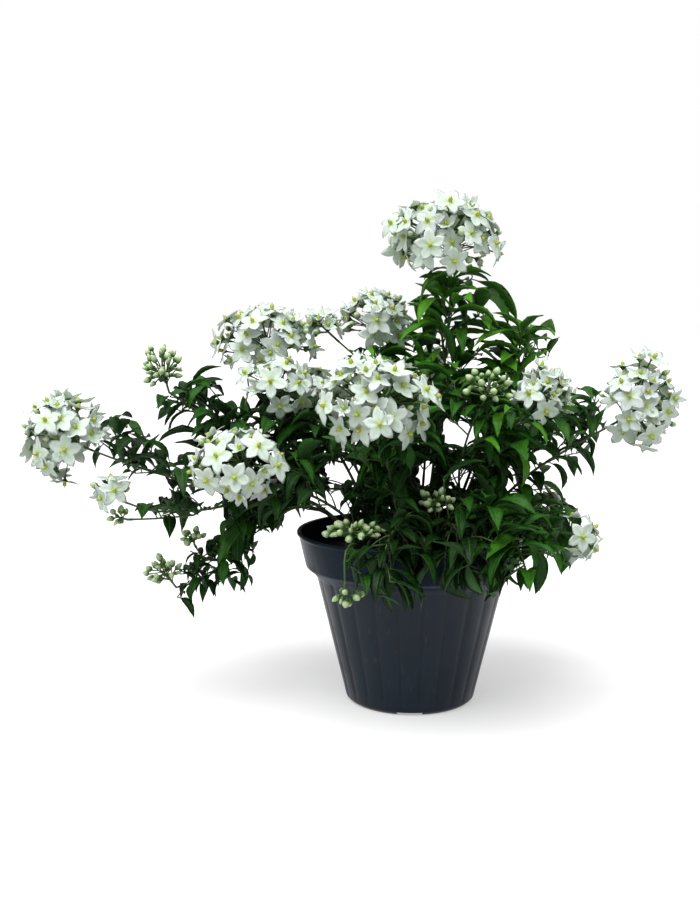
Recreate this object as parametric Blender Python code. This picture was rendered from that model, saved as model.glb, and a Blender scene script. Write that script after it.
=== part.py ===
"""A potato vine in a plastic nursery pot.

The pot stands on the floor at the origin, +Z up, and -Y is the plant's front. Stems stand in
plain holes in the soil and carry side twigs and leaves. Flower heads and bud sprays follow on
from the stems' ends. Twigs, leaves and flowers are placed by rules with seeded draws, and each
candidate is kept only where it clears everything that is already there.
"""

import math
import random

import bpy
from mathutils import Vector
from mathutils.bvhtree import BVHTree

MM = 0.001
GOLDEN_ANGLE = math.radians(137.508)
UP = Vector((0.0, 0.0, 1.0))
# Edges that turn further than this are drawn sharp
SHARP_ANGLE = math.radians(28)

# Clearance between pieces of the plant that only stand next to each other
SEAT_GAP = 0.3 * MM
LEAF_CLEARANCE = 0.45 * MM

# Pot: a round tapered nursery pot of about 3 litres
POT_HEIGHT = 143.0 * MM
RIM_RADIUS = 95.0 * MM
LIP_HEIGHT = 3.4 * MM
LIP_OVERHANG = 1.7 * MM
COLLAR_FOOT_RADIUS = 87.4 * MM
COLLAR_FOOT_HEIGHT = 113.6 * MM
STEP_RADIUS = 82.0 * MM
STEP_HEIGHT = 109.6 * MM
BODY_TOP_RADIUS = 78.6 * MM
BODY_TOP_HEIGHT = 105.0 * MM
BODY_FOOT_RADIUS = 56.9 * MM
BODY_FOOT_HEIGHT = 15.5 * MM
CORNER_RADIUS = 53.8 * MM
CORNER_HEIGHT = 3.0 * MM
FOOT_RADIUS = 50.2 * MM
FOOT_RING_WIDTH = 4.0 * MM
FOOT_CHANNEL_HEIGHT = 3.4 * MM
FOOT_PAD_RADIUS = 28.0 * MM
FOOT_BEVEL = 1.4 * MM
FLOOR_TOP = 5.4 * MM
WALL = 1.4 * MM
FLUTES = 24
FLUTE_DEPTH = 0.8 * MM
POT_SEGMENTS = 2 * FLUTES
DRAIN_HOLES = 8
DRAIN_RADIUS = 4.2 * MM
DRAIN_SIDES = 6
DRAIN_CIRCLE = 37.0 * MM
NOTCHES = 4
NOTCH_WIDTH = 20.5 * MM
NOTCH_HEIGHT = 2.6 * MM

# Soil
SOIL_TOP = 120.0 * MM
SOIL_BUMP = 1.6 * MM
SOIL_SEGMENTS = 24
SOIL_RINGS = (0.7, 0.35)
HOLE_DEPTH = 22.0 * MM
HOLE_SIDES = 6

# Stems and twigs
STEM_RADIUS = 1.9 * MM
TIP_RADIUS = 0.95 * MM
STEM_SIDES = 4
LIMB_SIDES = 4
STEM_STEP = 20.0 * MM
ROUTE_PARTS = 8
LIMB_BEND = 4.0 * MM
STEM_NECK = 5.0 * MM
LIMB_SHARE = 0.82
TWIG_RADIUS = 0.8 * MM
TWIG_TIP_RADIUS = 0.6 * MM
TWIG_LENGTH = (23.0 * MM, 38.0 * MM)
# Where twigs begin along a stem's first limb, as a share of its rings, and how far they turn
# from the next one's place while room is looked for
TWIG_FIRST_SHARE = 0.5
TURN_JITTER = 0.4
TWIG_TRIES = 8
# How far out from its root a twig, leaf or flower stalk is first tested, and how squarely it
# leaves the side that it grows from, as a cosine
STALK_REACH = 1.8 * MM
LEAST_SOCKET_FIT = 0.3

# Leaves
LEAF_LENGTH = (34.0 * MM, 52.0 * MM)
LEAF_WIDTH_SHARE = (0.30, 0.38)
LEAF_THICKNESS = 1.0 * MM
PETIOLE_RADIUS = 0.6 * MM
# Stations along a leaf: share of its length and share of its width. Only the leaves at the twigs'
# tips have two stations.
LEAF_STATIONS = ((0.40, 1.0), (0.72, 0.70))
SMALL_LEAF_STATIONS = ((0.48, 1.0),)
SMALL_LEAF_SHARE = 0.9
# Angles: down along a leaf's length, twist over its length, and up from its midrib on each side
LEAF_DROOP = (0.8, 2.0)
LEAF_ROLL = 0.7
LEAF_FOLD = (0.25, 0.6)
LEAF_FIRST_RING = 3
LEAVES_A_RING = 2
INNER_LEAF_CHANCE = 0.6
LEAF_TRIES = 10
MOST_LEAVES = 288
LOWEST_LEAF = 22.0 * MM
# The places along a leaf that have to be seen inside a leafy mass
LEAF_LOOKS = (0.4, 0.6, 0.8, 1.0)
# No leaf stands this near in front of a flower head
CLEAR_BEFORE_HEAD = 55.0 * MM
CLEAR_BESIDE_HEAD = 6.0 * MM

# Flowers and buds
FLOWER_RADIUS = 15.5 * MM
SINUS_SHARE = 0.5
PETAL_TOP = 0.7 * MM
PETAL_UNDER = 1.6 * MM
STAMEN_LENGTH = 6.2 * MM
STAMEN_RADIUS = 1.9 * MM
PEDICEL_RADIUS = 0.65 * MM
CALYX_RADIUS = 1.1 * MM
HEAD_AXIS_RADIUS = 1.1 * MM
AXIS_SIDES = 5
HEAD_STUB = 4.0 * MM
HEAD_TRIES = 14
BUD_RADIUS = 2.7 * MM
BUD_LENGTH = 8.0 * MM
# Petal tips stand this far forward of the flower's middle, or behind it
PETAL_LIFT = (-1.5 * MM, 3.0 * MM)
# Ranges of flowers', buds' widths and buds' lengths, as shares of the sizes above
FLOWER_SIZES = (0.88, 1.06)
BUD_SIZES = (0.75, 1.1)
BUD_LENGTHS = (0.8, 1.1)
# Flowers spread over this much of a dome, and lie at about its surface
DOME_COVER = math.radians(128)
DOME_DEPTHS = (0.86, 1.08)
DOME_JITTER = 0.1
SPIN_JITTER = 0.15

# Each leafy stem: its hole in the soil (x, y), then its limbs as routes of points in mm.
# The first limb rises from the hole. Any other starts at the nearest point of an earlier one.
STEMS = {
    "far_left": {
        "hole": (-48, -6),
        "limbs": [
            [(-58, -8, 148), (-84, -12, 168), (-112, -14, 172), (-150, -16, 176), (-194, -18, 187),
             (-232, -20, 199), (-262, -20, 210)],
            [(-112, -14, 172), (-140, -26, 168), (-172, -34, 163), (-208, -38, 163), (-230, -40, 170)],
            [(-172, -34, 163), (-200, -37, 157), (-226, -39, 156)],
        ],
    },
    "left_drop": {
        "hole": (-52, 14),
        "limbs": [
            [(-62, 12, 146), (-84, 8, 160), (-112, 2, 158), (-136, -6, 150), (-147, -12, 131),
             (-160, -16, 112), (-175, -20, 100), (-189, -24, 98)],
            [(-162, -16, 112), (-172, -18, 121), (-177, -20, 130)],
        ],
    },
    "upper_left": {
        "hole": (-32, 20),
        "limbs": [
            [(-40, 20, 160), (-60, 18, 202), (-84, 18, 234), (-104, 20, 256), (-116, 22, 270)],
            [(-60, 18, 202), (-96, 12, 214), (-136, 8, 226), (-172, 4, 238), (-198, 2, 254)],
            [(-84, 18, 234), (-92, 4, 238), (-98, -5, 244)],
        ],
    },
    "mid_left": {
        "hole": (-34, -28),
        "limbs": [
            [(-46, -34, 152), (-70, -48, 174), (-94, -62, 186), (-114, -72, 193)],
        ],
    },
    "centre": {
        "hole": (-10, -28),
        "limbs": [
            [(-12, -36, 160), (-16, -58, 195), (-20, -80, 220), (-22, -94, 234)],
        ],
    },
    "crown": {
        "hole": (14, 8),
        "limbs": [
            [(16, 8, 168), (22, 9, 228), (28, 10, 288), (31, 10, 330), (32, 10, 356)],
            [(16, 8, 168), (-6, 22, 200), (-20, 32, 244), (-30, 38, 280), (-34, 40, 298)],
            [(-26, 36, 262), (-46, 34, 284), (-62, 32, 298)],
        ],
    },
    "upper_right": {
        "hole": (34, 22),
        "limbs": [
            [(42, 24, 164), (60, 28, 212), (80, 30, 254), (94, 28, 280), (102, 24, 294)],
        ],
    },
    "right_inner": {
        "hole": (32, -14),
        "limbs": [
            [(40, -20, 160), (54, -28, 200), (74, -34, 226), (90, -38, 242)],
            [(40, -20, 160), (38, -40, 196), (46, -52, 232), (54, -58, 250)],
        ],
    },
    "far_right": {
        "hole": (52, 4),
        "limbs": [
            [(62, 4, 150), (84, 0, 178), (110, -4, 200), (140, -8, 219), (162, -10, 232)],
        ],
    },
    "lower_right": {
        "hole": (50, -26),
        "limbs": [
            [(62, -34, 148), (82, -44, 158), (102, -50, 157), (116, -52, 152)],
            [(82, -44, 158), (96, -32, 166), (106, -24, 170)],
        ],
    },
    "right_drape": {
        "hole": (40, -46),
        "limbs": [
            [(50, -58, 148), (66, -78, 158), (80, -94, 148), (88, -100, 126)],
        ],
    },
    "front_right": {
        "hole": (18, -52),
        "limbs": [
            [(22, -64, 150), (30, -88, 164), (38, -106, 154), (42, -114, 134)],
            [(22, -64, 150), (20, -62, 164)],
        ],
    },
    "front": {
        "hole": (-6, -56),
        "limbs": [
            [(-8, -70, 150), (-12, -94, 160), (-18, -112, 150), (-20, -118, 136)],
        ],
    },
    "front_left": {
        "hole": (-30, -50),
        "limbs": [
            [(-36, -60, 138), (-42, -72, 147)],
            [(-42, -72, 147), (-46, -94, 150), (-50, -106, 136), (-49, -107, 122)],
        ],
    },
    "back_left": {
        "hole": (-24, 46),
        "limbs": [
            [(-34, 56, 158), (-58, 80, 198), (-78, 100, 222)],
            [(-34, 56, 158), (-76, 72, 166), (-108, 86, 158), (-128, 96, 140)],
        ],
    },
    "back": {
        "hole": (8, 50),
        "limbs": [
            [(10, 62, 162), (14, 94, 208), (16, 116, 232)],
            [(10, 62, 162), (-2, 104, 168), (-18, 134, 160)],
        ],
    },
    "back_right": {
        "hole": (38, 44),
        "limbs": [
            [(50, 56, 158), (76, 80, 194), (98, 98, 218)],
            [(50, 56, 158), (88, 62, 162), (116, 74, 152), (134, 82, 134)],
        ],
    },
}

# Each flower head or bud spray: the stem and limb whose end it follows, its dome's centre and
# half sizes in mm, the way it faces, and how many flowers and buds it holds.
HEADS = {
    "head_crown": ("crown", 0, (28, 8, 385), (42, 38, 28), (0.0, -0.25, 1.0), 14, 2),
    "head_far_left": ("far_left", 0, (-285, -21, 220), (28, 30, 33), (-0.6, -0.4, 0.6), 12, 0),
    "head_left_low": ("far_left", 1, (-242, -42, 181), (13, 12, 10), (-0.3, -0.4, 0.8), 3, 3),
    "head_upper_left": ("upper_left", 0, (-122, 22, 301), (39, 31, 25), (-0.1, -0.4, 0.9), 12, 2),
    "head_upper_left_front": ("upper_left", 2, (-109, -12, 265), (26, 22, 20), (0.1, -0.8, 0.5), 7, 0),
    "head_mid_left": ("mid_left", 0, (-131, -80, 208), (37, 28, 25), (-0.2, -0.7, 0.6), 12, 0),
    "head_centre": ("centre", 0, (-25, -106, 257), (40, 28, 29), (0.0, -0.8, 0.6), 14, 0),
    "head_upper_mid": ("crown", 1, (-32, 41, 318), (29, 25, 20), (0.1, -0.3, 0.9), 8, 2),
    "head_half_open": ("crown", 2, (-76, 31, 311), (13, 12, 11), (-0.3, -0.3, 0.9), 4, 3),
    "head_right_inner": ("right_inner", 0, (102, -41, 260), (17, 15, 20), (0.2, -0.4, 0.8), 6, 3),
    "head_far_right": ("far_right", 0, (184, -11, 249), (30, 30, 32), (0.5, -0.5, 0.6), 13, 0),
    "head_lower_right": ("lower_right", 0, (131, -54, 150), (15, 14, 15), (0.8, -0.5, 0.2), 5, 1),
    "head_right_single": ("lower_right", 1, (112, -21, 175), (3, 3, 3), (0.5, -0.4, 0.7), 1, 1),
    "head_back_left": ("back_left", 0, (-92, 114, 243), (32, 29, 26), (-0.4, 0.6, 0.7), 10, 0),
    "head_back": ("back", 0, (18, 133, 254), (33, 28, 27), (0.0, 0.7, 0.7), 11, 0),
    "head_back_low": ("back", 1, (-27, 147, 169), (21, 18, 16), (-0.2, 0.8, 0.5), 6, 2),
    "head_back_right": ("back_right", 0, (113, 112, 238), (32, 29, 26), (0.5, 0.6, 0.6), 10, 0),
    "bud_spray_upper_left": ("upper_left", 1, (-207, 1, 276), (15, 14, 18), (-0.2, -0.1, 1.0), 0, 12),
    "bud_spray_left_low": ("far_left", 2, (-236, -40, 158), (7, 6, 6), (-0.9, -0.1, 0.4), 0, 3),
    "bud_spray_left_drop": ("left_drop", 0, (-203, -28, 111), (13, 10, 12), (-0.5, -0.2, 0.8), 0, 7),
    "bud_spray_left_small": ("left_drop", 1, (-179, -20, 138), (8, 7, 7), (-0.1, -0.1, 1.0), 0, 5),
    "bud_spray_front_left": ("front_left", 0, (-44, -79, 155), (22, 9, 7), (0.0, -0.3, 1.0), 0, 13),
    "bud_spray_pot_front": ("front_left", 1, (-46, -108, 112), (10, 7, 7), (0.1, -0.3, -1.0), 0, 7),
    "bud_spray_front": ("front_right", 1, (20, -61, 176), (13, 10, 8), (0.0, -0.2, 1.0), 0, 8),
    "bud_spray_right": ("right_inner", 1, (59, -60, 266), (18, 13, 13), (0.1, -0.3, 1.0), 0, 13),
}

# Where the plant is seen from in the photograph. Its leafy masses and the gaps that show between
# them are ellipses seen from there, given where they cross the plane y = 0: centre (x, z) and half
# sizes in mm. A mass also says how large its leaves are, as a share.
VIEWPOINT = Vector((0.0, -1.0, 0.3276))
LEAFY_MASSES = {
    "low_spray": (-164, 98, 32, 36, 0.5),
    "above_low_spray": (-144, 128, 15, 26, 0.6),
    "far_left": (-233, 212, 29, 32, 0.7),
    "left": (-182, 209, 40, 60, 0.85),
    "left_top": (-156, 252, 27, 28, 1.0),
    "mid_left": (-116, 199, 58, 61, 1.0),
    "crown": (32, 333, 54, 26, 1.0),
    "below_crown": (56, 304, 66, 36, 1.0),
    "upper_mid": (-14, 279, 46, 19, 1.0),
    "middle": (32, 199, 95, 92, 1.0),
    "right": (129, 237, 31, 42, 1.0),
    "lower_right": (106, 134, 35, 47, 1.0),
    "front": (3, 115, 60, 45, 1.0),
    "front_right": (61, 117, 25, 38, 1.0),
}
GAPS = [
    (-199, 205, 9, 9), (-223, 176, 18, 9), (-165, 168, 8, 6), (-150, 259, 7, 7), (-100, 150, 7, 8),
    (-77, 166, 12, 5), (-67, 185, 6, 10), (-52, 190, 12, 9), (-54, 163, 7, 4), (12, 188, 10, 12),
    (44, 183, 9, 12), (39, 223, 16, 11), (95, 226, 5, 9), (83, 180, 5, 16), (94, 116, 5, 5),
]


# Vectors and curves


def mm_vector(point):
    return Vector(point) * MM


def route_length(points):
    return sum((b - a).length for a, b in zip(points, points[1:]))


def smooth_route(points, step):
    """Points about one step apart on a smooth curve through the given ones."""
    fine = []
    ends = [2 * points[0] - points[1]] + list(points) + [2 * points[-1] - points[-2]]
    for a, b, c, d in zip(ends, ends[1:], ends[2:], ends[3:]):
        for k in range(ROUTE_PARTS):
            t = k / ROUTE_PARTS
            fine.append(0.5 * (2 * b + (c - a) * t + (2 * a - 5 * b + 4 * c - d) * t**2
                               + (3 * b - a - 3 * c + d) * t**3))
    fine.append(points[-1].copy())
    count = max(2, round(route_length(fine) / step))
    return [point_at(fine, route_length(fine) * k / count) for k in range(count)] + [fine[-1]]


def point_at(points, distance):
    for a, b in zip(points, points[1:]):
        length = (b - a).length
        if distance <= length:
            return a.lerp(b, distance / length)
        distance -= length
    return points[-1].copy()


def cross_axes(direction):
    side = direction.orthogonal().normalized()
    return side, direction.cross(side)


def around(centre, across, over, radius, angle):
    return centre + radius * (math.cos(angle) * across + math.sin(angle) * over)


def sway(draw):
    return Vector([draw.gauss(0, 1) for _ in range(3)])


# Shapes are lists of faces, and a face is a list of points. Faces that share a point hold the
# same numbers there, so a leaf that springs from three points of a twig is one body with it.


def indexed(faces):
    """Vertices and faces by number, with equal points made one vertex."""
    numbers = {}
    verts = []
    found = []
    for face in faces:
        row = []
        for point in face:
            key = tuple(point)
            if key not in numbers:
                numbers[key] = len(verts)
                verts.append(point)
            row.append(numbers[key])
        found.append(row)
    return verts, found


def ring(centre, tangent, start_way, radius, sides):
    """Points round a centre, the first one towards start_way, counter-clockwise about the tangent."""
    across = (start_way - tangent * start_way.dot(tangent)).normalized()
    over = tangent.cross(across)
    return [around(centre, across, over, radius, 2 * math.pi * k / sides) for k in range(sides)]


def make_branch(stem, index, points, radii, sides, root=None):
    """A branch's rings of points. Its root is a free ring, or three points of what carries it."""
    rings = []
    if root is None:
        tangent = (points[1] - points[0]).normalized()
        rings.append(ring(points[0], tangent, tangent.orthogonal(), radii[0], sides))
        first_way = rings[0][0] - points[0]
    else:
        rings.append(list(root))
        first_way = root[0] - (root[0] + root[1] + root[2]) / 3
        if sides == 4:
            first_way = root[0] - root[2] + 0.5 * (root[0] - root[1])
    way = first_way
    for i in range(1, len(points)):
        after = points[min(i + 1, len(points) - 1)]
        tangent = (after - points[i - 1]).normalized()
        rings.append(ring(points[i], tangent, way, radii[i], sides))
        way = rings[-1][0] - points[i]
    return {"stem": stem, "index": index, "points": points, "radii": radii, "rings": rings, "used": set(),
            "rooted": root is not None, "peak": None, "end_used": False}


def socket(branch, i, k):
    """Three points of side k above ring i, or of the peak's side k, that something can grow from."""
    lower = branch["rings"][i]
    a, b = lower[k], lower[(k + 1) % len(lower)]
    if i == len(branch["rings"]) - 1:
        return a, b, branch["peak"]
    upper = branch["rings"][i + 1]
    c, d = upper[(k + 1) % len(upper)], upper[k]
    middle = (a + b) / 2
    along = (c + d) / 2 - middle
    height = min(0.9 * (b - a).length, 0.45 * along.length)
    return a, b, middle + along.normalized() * height


def socket_normal(points):
    a, b, c = points
    return (b - a).cross(c - a).normalized()


def branch_faces(branch, closed=False):
    """A branch's faces, without those that its sockets replace unless it is drawn closed."""
    rings = branch["rings"]
    faces = []
    if len(rings[0]) == len(rings[1]):
        start = 0
    else:
        a, b, m = rings[0]
        q = rings[1]
        faces += [[a, b, q[1], q[0]], [b, m, q[2], q[1]], [q[2], m, q[3]], [m, a, q[0], q[3]]]
        start = 1
    for i in range(start, len(rings) - 1):
        lower, upper = rings[i], rings[i + 1]
        for k in range(len(lower)):
            after = (k + 1) % len(lower)
            a, b, c, d = lower[k], lower[after], upper[after], upper[k]
            if (i, k) in branch["used"] and not closed:
                top = socket(branch, i, k)[2]
                faces += [[b, c, top], [c, d, top], [d, a, top]]
            else:
                faces.append([a, b, c, d])
    if closed or not branch["rooted"]:
        faces.append(list(reversed(rings[0])))
    if branch["peak"]:
        last = len(rings) - 1
        faces += [list(socket(branch, last, k)) for k in range(len(rings[-1]))
                  if closed or (last, k) not in branch["used"]]
    elif closed or not branch["end_used"]:
        faces.append(list(rings[-1]))
    return faces


def leaf_spine(leaf, share, steps=8):
    """The point, tangent, side and upper normal at a share of the leaf's length."""
    heading, rise, droop = leaf["heading"], leaf["rise"], leaf["droop"]

    def tangent_at(place):
        pitch = rise - droop * place**0.8
        level = math.cos(pitch)
        return Vector((level * math.cos(heading), level * math.sin(heading), math.sin(pitch)))

    point = leaf["start"].copy()
    for k in range(steps):
        point = point + tangent_at((k + 0.5) / steps * share) * (leaf["length"] * share / steps)
    tangent = tangent_at(share)
    side = Vector((-math.sin(heading), math.cos(heading), 0.0))
    normal = tangent.cross(side)
    roll = leaf["roll"] * share
    return (point, tangent, side * math.cos(roll) + normal * math.sin(roll),
            normal * math.cos(roll) - side * math.sin(roll))


def leaf_stations(leaf, grow=0.0):
    """Left, top, right and under points of the blade at each station, and its tip."""
    rows = []
    for share, width in leaf["stations"]:
        point, _, side, normal = leaf_spine(leaf, share)
        half = 0.5 * leaf["width"] * width
        fold = math.tan(leaf["fold"]) * half
        rows.append((
            point + side * (half + grow) + normal * fold,
            point + normal * grow,
            point - side * (half + grow) + normal * fold,
            point - normal * (LEAF_THICKNESS + grow),
        ))
    end, tangent, _, _ = leaf_spine(leaf, 1.0)
    return rows, end + tangent * grow


def leaf_faces(leaf, root=None, grow=0.0):
    """A leaf folded up along its midrib and arched down. Its stalk springs from three points."""
    rows, tip = leaf_stations(leaf, grow)
    right, left, top = root or leaf["root"]
    left1, top1, right1, under1 = rows[0]
    faces = [[left, top, left1], [top, top1, left1], [top, right, right1], [top, right1, top1],
             [right, left, under1], [left, left1, under1], [right, under1, right1]]
    for lower, upper in zip(rows, rows[1:]):
        left, top, right, under = lower
        left1, top1, right1, under1 = upper
        faces += [[left, top, left1], [top, top1, left1], [top, right, right1], [top, right1, top1],
                  [under, left, left1], [under, left1, under1], [right, under, right1],
                  [under, under1, right1]]
    left, top, right, under = rows[-1]
    return faces + [[left, top, tip], [top, right, tip], [under, left, tip], [right, under, tip]]


def stalk_ring(item, middle, radius, sides):
    """A ring across an item's stalk, lined up with the three points that it springs from."""
    root = item["root"]
    return ring(middle, item["facing"], root[0] - (root[0] + root[1] + root[2]) / 3, radius, sides)


def stalk_faces(root, upper):
    """The stalk's three sides, from the points that it springs from to a ring of three."""
    return [[root[k], root[(k + 1) % 3], upper[(k + 1) % 3], upper[k]] for k in range(3)]


def star_faces(rim, three):
    """One side of a flower, from its outline of ten points to three points in its middle."""
    faces = []
    for k in range(10):
        here, following = int((k + 0.5) * 0.3), int((k + 1.5) * 0.3) % 3
        faces.append([rim[k], rim[(k + 1) % 10], three[here]])
        if following != here:
            faces.append([rim[(k + 1) % 10], three[following], three[here]])
    return faces


def flower_faces(item, grow=0.0):
    """A star of five pointed petals with a cone of stamens, on its stalk."""
    centre, facing = item["centre"], item["facing"]
    across, over = cross_axes(facing)
    fifth = 2 * math.pi / 5
    calyx = stalk_ring(item, centre - facing * PETAL_UNDER, CALYX_RADIUS + grow, 3)
    crown = stalk_ring(item, centre + facing * (PETAL_TOP + grow), STAMEN_RADIUS, 3)
    first = calyx[0] - (centre - facing * PETAL_UNDER)
    turn = math.atan2(first.dot(over), first.dot(across)) - 0.75 * fifth
    rim = []
    for k in range(5):
        radius = item["radius"] + grow
        lift = facing * item["lift"]
        rim.append(around(centre + lift, across, over, radius, turn + fifth * k))
        rim.append(around(centre + 0.3 * lift, across, over, radius * SINUS_SHARE, turn + fifth * (k + 0.5)))
    apex = centre + facing * (STAMEN_LENGTH + grow)
    faces = stalk_faces(item["root"], calyx) + star_faces(rim, crown)
    faces += [list(reversed(face)) for face in star_faces(rim, calyx)]
    return faces + [[crown[k], crown[(k + 1) % 3], apex] for k in range(3)]


def bud_faces(item, grow=0.0):
    """A closed bud, a little longer than wide, on its stalk."""
    centre, facing, length = item["centre"], item["facing"], item["length"]
    neck = stalk_ring(item, centre - facing * 0.45 * length, PEDICEL_RADIUS + grow, 3)
    belly = stalk_ring(item, centre + facing * 0.05 * length, item["radius"] + grow, 6)
    tip = centre + facing * (0.5 * length + grow)
    faces = stalk_faces(item["root"], neck)
    for k in range(3):
        here, between, following = belly[2 * k], belly[2 * k + 1], belly[(2 * k + 2) % 6]
        after = neck[(k + 1) % 3]
        faces += [[neck[k], after, between], [neck[k], between, here], [after, following, between],
                  [here, between, tip], [between, following, tip]]
    return faces


def item_faces(item, grow=0.0):
    return flower_faces(item, grow) if item["kind"] == "flower" else bud_faces(item, grow)


# What has been placed, so that new pieces keep clear of it


class Placed:
    """The solids placed so far, each with its box and the branch that it belongs to or grows on."""

    def __init__(self):
        self.entries = []

    def add(self, faces, branch=None):
        verts, rows = indexed(faces)
        low = [min(v[i] for v in verts) for i in range(3)]
        high = [max(v[i] for v in verts) for i in range(3)]
        self.entries.append((low, high, BVHTree.FromPolygons(verts, rows), branch))

    def is_clear(self, probe, whole, branch):
        """Whether a probe crosses nothing, and the whole piece nothing but what its branch carries."""
        return self.crosses_none(probe, None) and self.crosses_none(whole, branch)

    def crosses_none(self, faces, apart_from):
        verts, rows = indexed(faces)
        low = [min(v[i] for v in verts) for i in range(3)]
        high = [max(v[i] for v in verts) for i in range(3)]
        tree = None
        for other_low, other_high, other, branch in self.entries:
            if branch is not None and branch is apart_from:
                continue
            if any(low[i] > other_high[i] or high[i] < other_low[i] for i in range(3)):
                continue
            tree = tree or BVHTree.FromPolygons(verts, rows)
            if tree.overlap(other):
                return False
        return True


# The plan of the plant: limbs, heads, twigs and leaves, each rooted on what carries it


def middle_of(points):
    return sum(points, Vector()) / len(points)


def free_side(branch, i, out):
    """The side of ring i that faces most nearly out and that nothing grows from yet."""
    free = [k for k in range(len(branch["rings"][i])) if (i, k) not in branch["used"]]
    return max(free, key=lambda k: socket_normal(socket(branch, i, k)).dot(out), default=None)


def plan_limbs():
    """Every stem's limbs, thinner towards the tips."""
    limbs = []
    for name, stem in STEMS.items():
        own = []
        for index, route in enumerate(stem["limbs"]):
            given = [mm_vector(point) for point in route]
            if index == 0:
                hole = Vector((stem["hole"][0] * MM, stem["hole"][1] * MM, SOIL_TOP - HOLE_DEPTH))
                points = [hole] + smooth_route([hole + UP * (HOLE_DEPTH + STEM_NECK)] + given, STEM_STEP)
                thick, sides, root = STEM_RADIUS, STEM_SIDES, None
            else:
                carrier, i = min(
                    ((limb, i) for limb in own for i in range(2, len(limb["points"]) - 1)),
                    key=lambda pair: (pair[0]["points"][pair[1]] - given[0]).length,
                )
                k = free_side(carrier, i, (given[1] - given[0]).normalized())
                root = socket(carrier, i, k)
                carrier["used"].add((i, k))
                start, out = middle_of(root), socket_normal(root)
                along = (carrier["points"][i + 1] - carrier["points"][i]).normalized()
                bend = start + out * LIMB_BEND + along * LIMB_BEND
                points = [start] + smooth_route([bend] + given[1:], STEM_STEP)
                thick, sides = carrier["radii"][i] * LIMB_SHARE, LIMB_SIDES
            count = len(points) - 1
            radii = [thick + (TIP_RADIUS - thick) * k / count for k in range(count + 1)]
            own.append(make_branch(name, index, points, radii, sides, root))
        limbs += own
    return limbs


def head_item(kind, spot, head, draw, loose):
    """A flower or bud at about a spot on the dome, on a stalk from the axis's best free side."""
    centre, half, dome = head["centre"], head["half"], head["dome"]
    polar = spot[0] + draw.uniform(-DOME_JITTER, DOME_JITTER) * loose
    spin = spot[1] + draw.uniform(-SPIN_JITTER, SPIN_JITTER) * loose
    side, over = cross_axes(dome)
    ray = math.cos(polar) * dome + math.sin(polar) * (math.cos(spin) * side + math.sin(spin) * over)
    place = centre + Vector([ray[i] * half[i] for i in range(3)]) * draw.uniform(*DOME_DEPTHS)
    axis = head["axis"]
    best = None
    for i in range(1, len(axis["rings"])):
        for k in range(len(axis["rings"][i])):
            if (i, k) in axis["used"]:
                continue
            root = socket(axis, i, k)
            fit = (place - middle_of(root)).normalized().dot(socket_normal(root))
            if best is None or fit > best[0]:
                best = fit, (i, k), root
    if best is None or best[0] < LEAST_SOCKET_FIT:
        return None
    root = best[2]
    stalk = (place - middle_of(root)).normalized()
    facing = (0.6 * stalk + 0.6 * ray + 0.15 * dome + 0.1 * UP + 0.14 * sway(draw)).normalized()
    if facing.dot(stalk) < 0.3:
        facing = (facing + stalk).normalized()
    item = {"kind": kind, "centre": place, "facing": facing, "root": root, "side": best[1], "stalk": stalk}
    if kind == "flower":
        item["radius"] = FLOWER_RADIUS * draw.uniform(*FLOWER_SIZES) * (1 - 0.02 * loose)
        item["lift"] = draw.uniform(*PETAL_LIFT)
    else:
        item["radius"] = BUD_RADIUS * draw.uniform(*BUD_SIZES)
        item["length"] = BUD_LENGTH * draw.uniform(*BUD_LENGTHS)
    return item


def item_probe(item):
    """The item's faces a little larger, without the foot of its stalk."""
    foot = middle_of(item["root"]) + item["stalk"] * STALK_REACH
    root = ring(foot, item["stalk"], item["root"][0] - middle_of(item["root"]),
                PEDICEL_RADIUS + LEAF_CLEARANCE, 3)
    return item_faces(dict(item, root=tuple(root)), LEAF_CLEARANCE)


def plan_heads(limbs, placed):
    """The axis, flowers and buds of every head and spray, each on the end of its limb."""
    ends = {(limb["stem"], limb["index"]): limb["points"] for limb in limbs}
    heads = []
    for number, (name, spec) in enumerate(HEADS.items()):
        stem, index, centre, half, dome, flowers, buds = spec
        draw = random.Random(1000 + number)
        centre, half, dome = mm_vector(centre), mm_vector(half), Vector(dome).normalized()
        points = ends[stem, index]
        along = (points[-1] - points[-2]).normalized()
        start = points[-1] + along * SEAT_GAP
        reach = (centre - start).length
        count = max(2, math.ceil((flowers + buds) / AXIS_SIDES))
        stops = [start, start + along * min(HEAD_STUB, 0.3 * reach)]
        stops += [stops[1].lerp(centre, k / count) for k in range(1, count + 1)]
        axis = make_branch(name, 0, stops, [HEAD_AXIS_RADIUS] * len(stops), AXIS_SIDES)
        axis["peak"] = stops[-1] + (stops[-1] - stops[-2]).normalized() * HEAD_AXIS_RADIUS
        head = {"name": name, "axis": axis, "items": [], "centre": centre, "half": half, "dome": dome}
        placed.add(branch_faces(axis, closed=True), axis)
        total = flowers + buds
        for k in range(total):
            kind = "bud" if (k * buds) // total < ((k + 1) * buds) // total else "flower"
            share = (k + 0.5) / total
            spot = math.acos(1 - share * (1 - math.cos(DOME_COVER))), k * GOLDEN_ANGLE
            for attempt in range(HEAD_TRIES):
                item = head_item(kind, spot, head, draw, 1 + attempt / 3)
                if item and placed.is_clear(item_probe(item), item_faces(item), axis):
                    head["items"].append(item)
                    axis["used"].add(item["side"])
                    placed.add(item_faces(item), axis)
                    break
        heads.append(head)
    return heads


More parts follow.
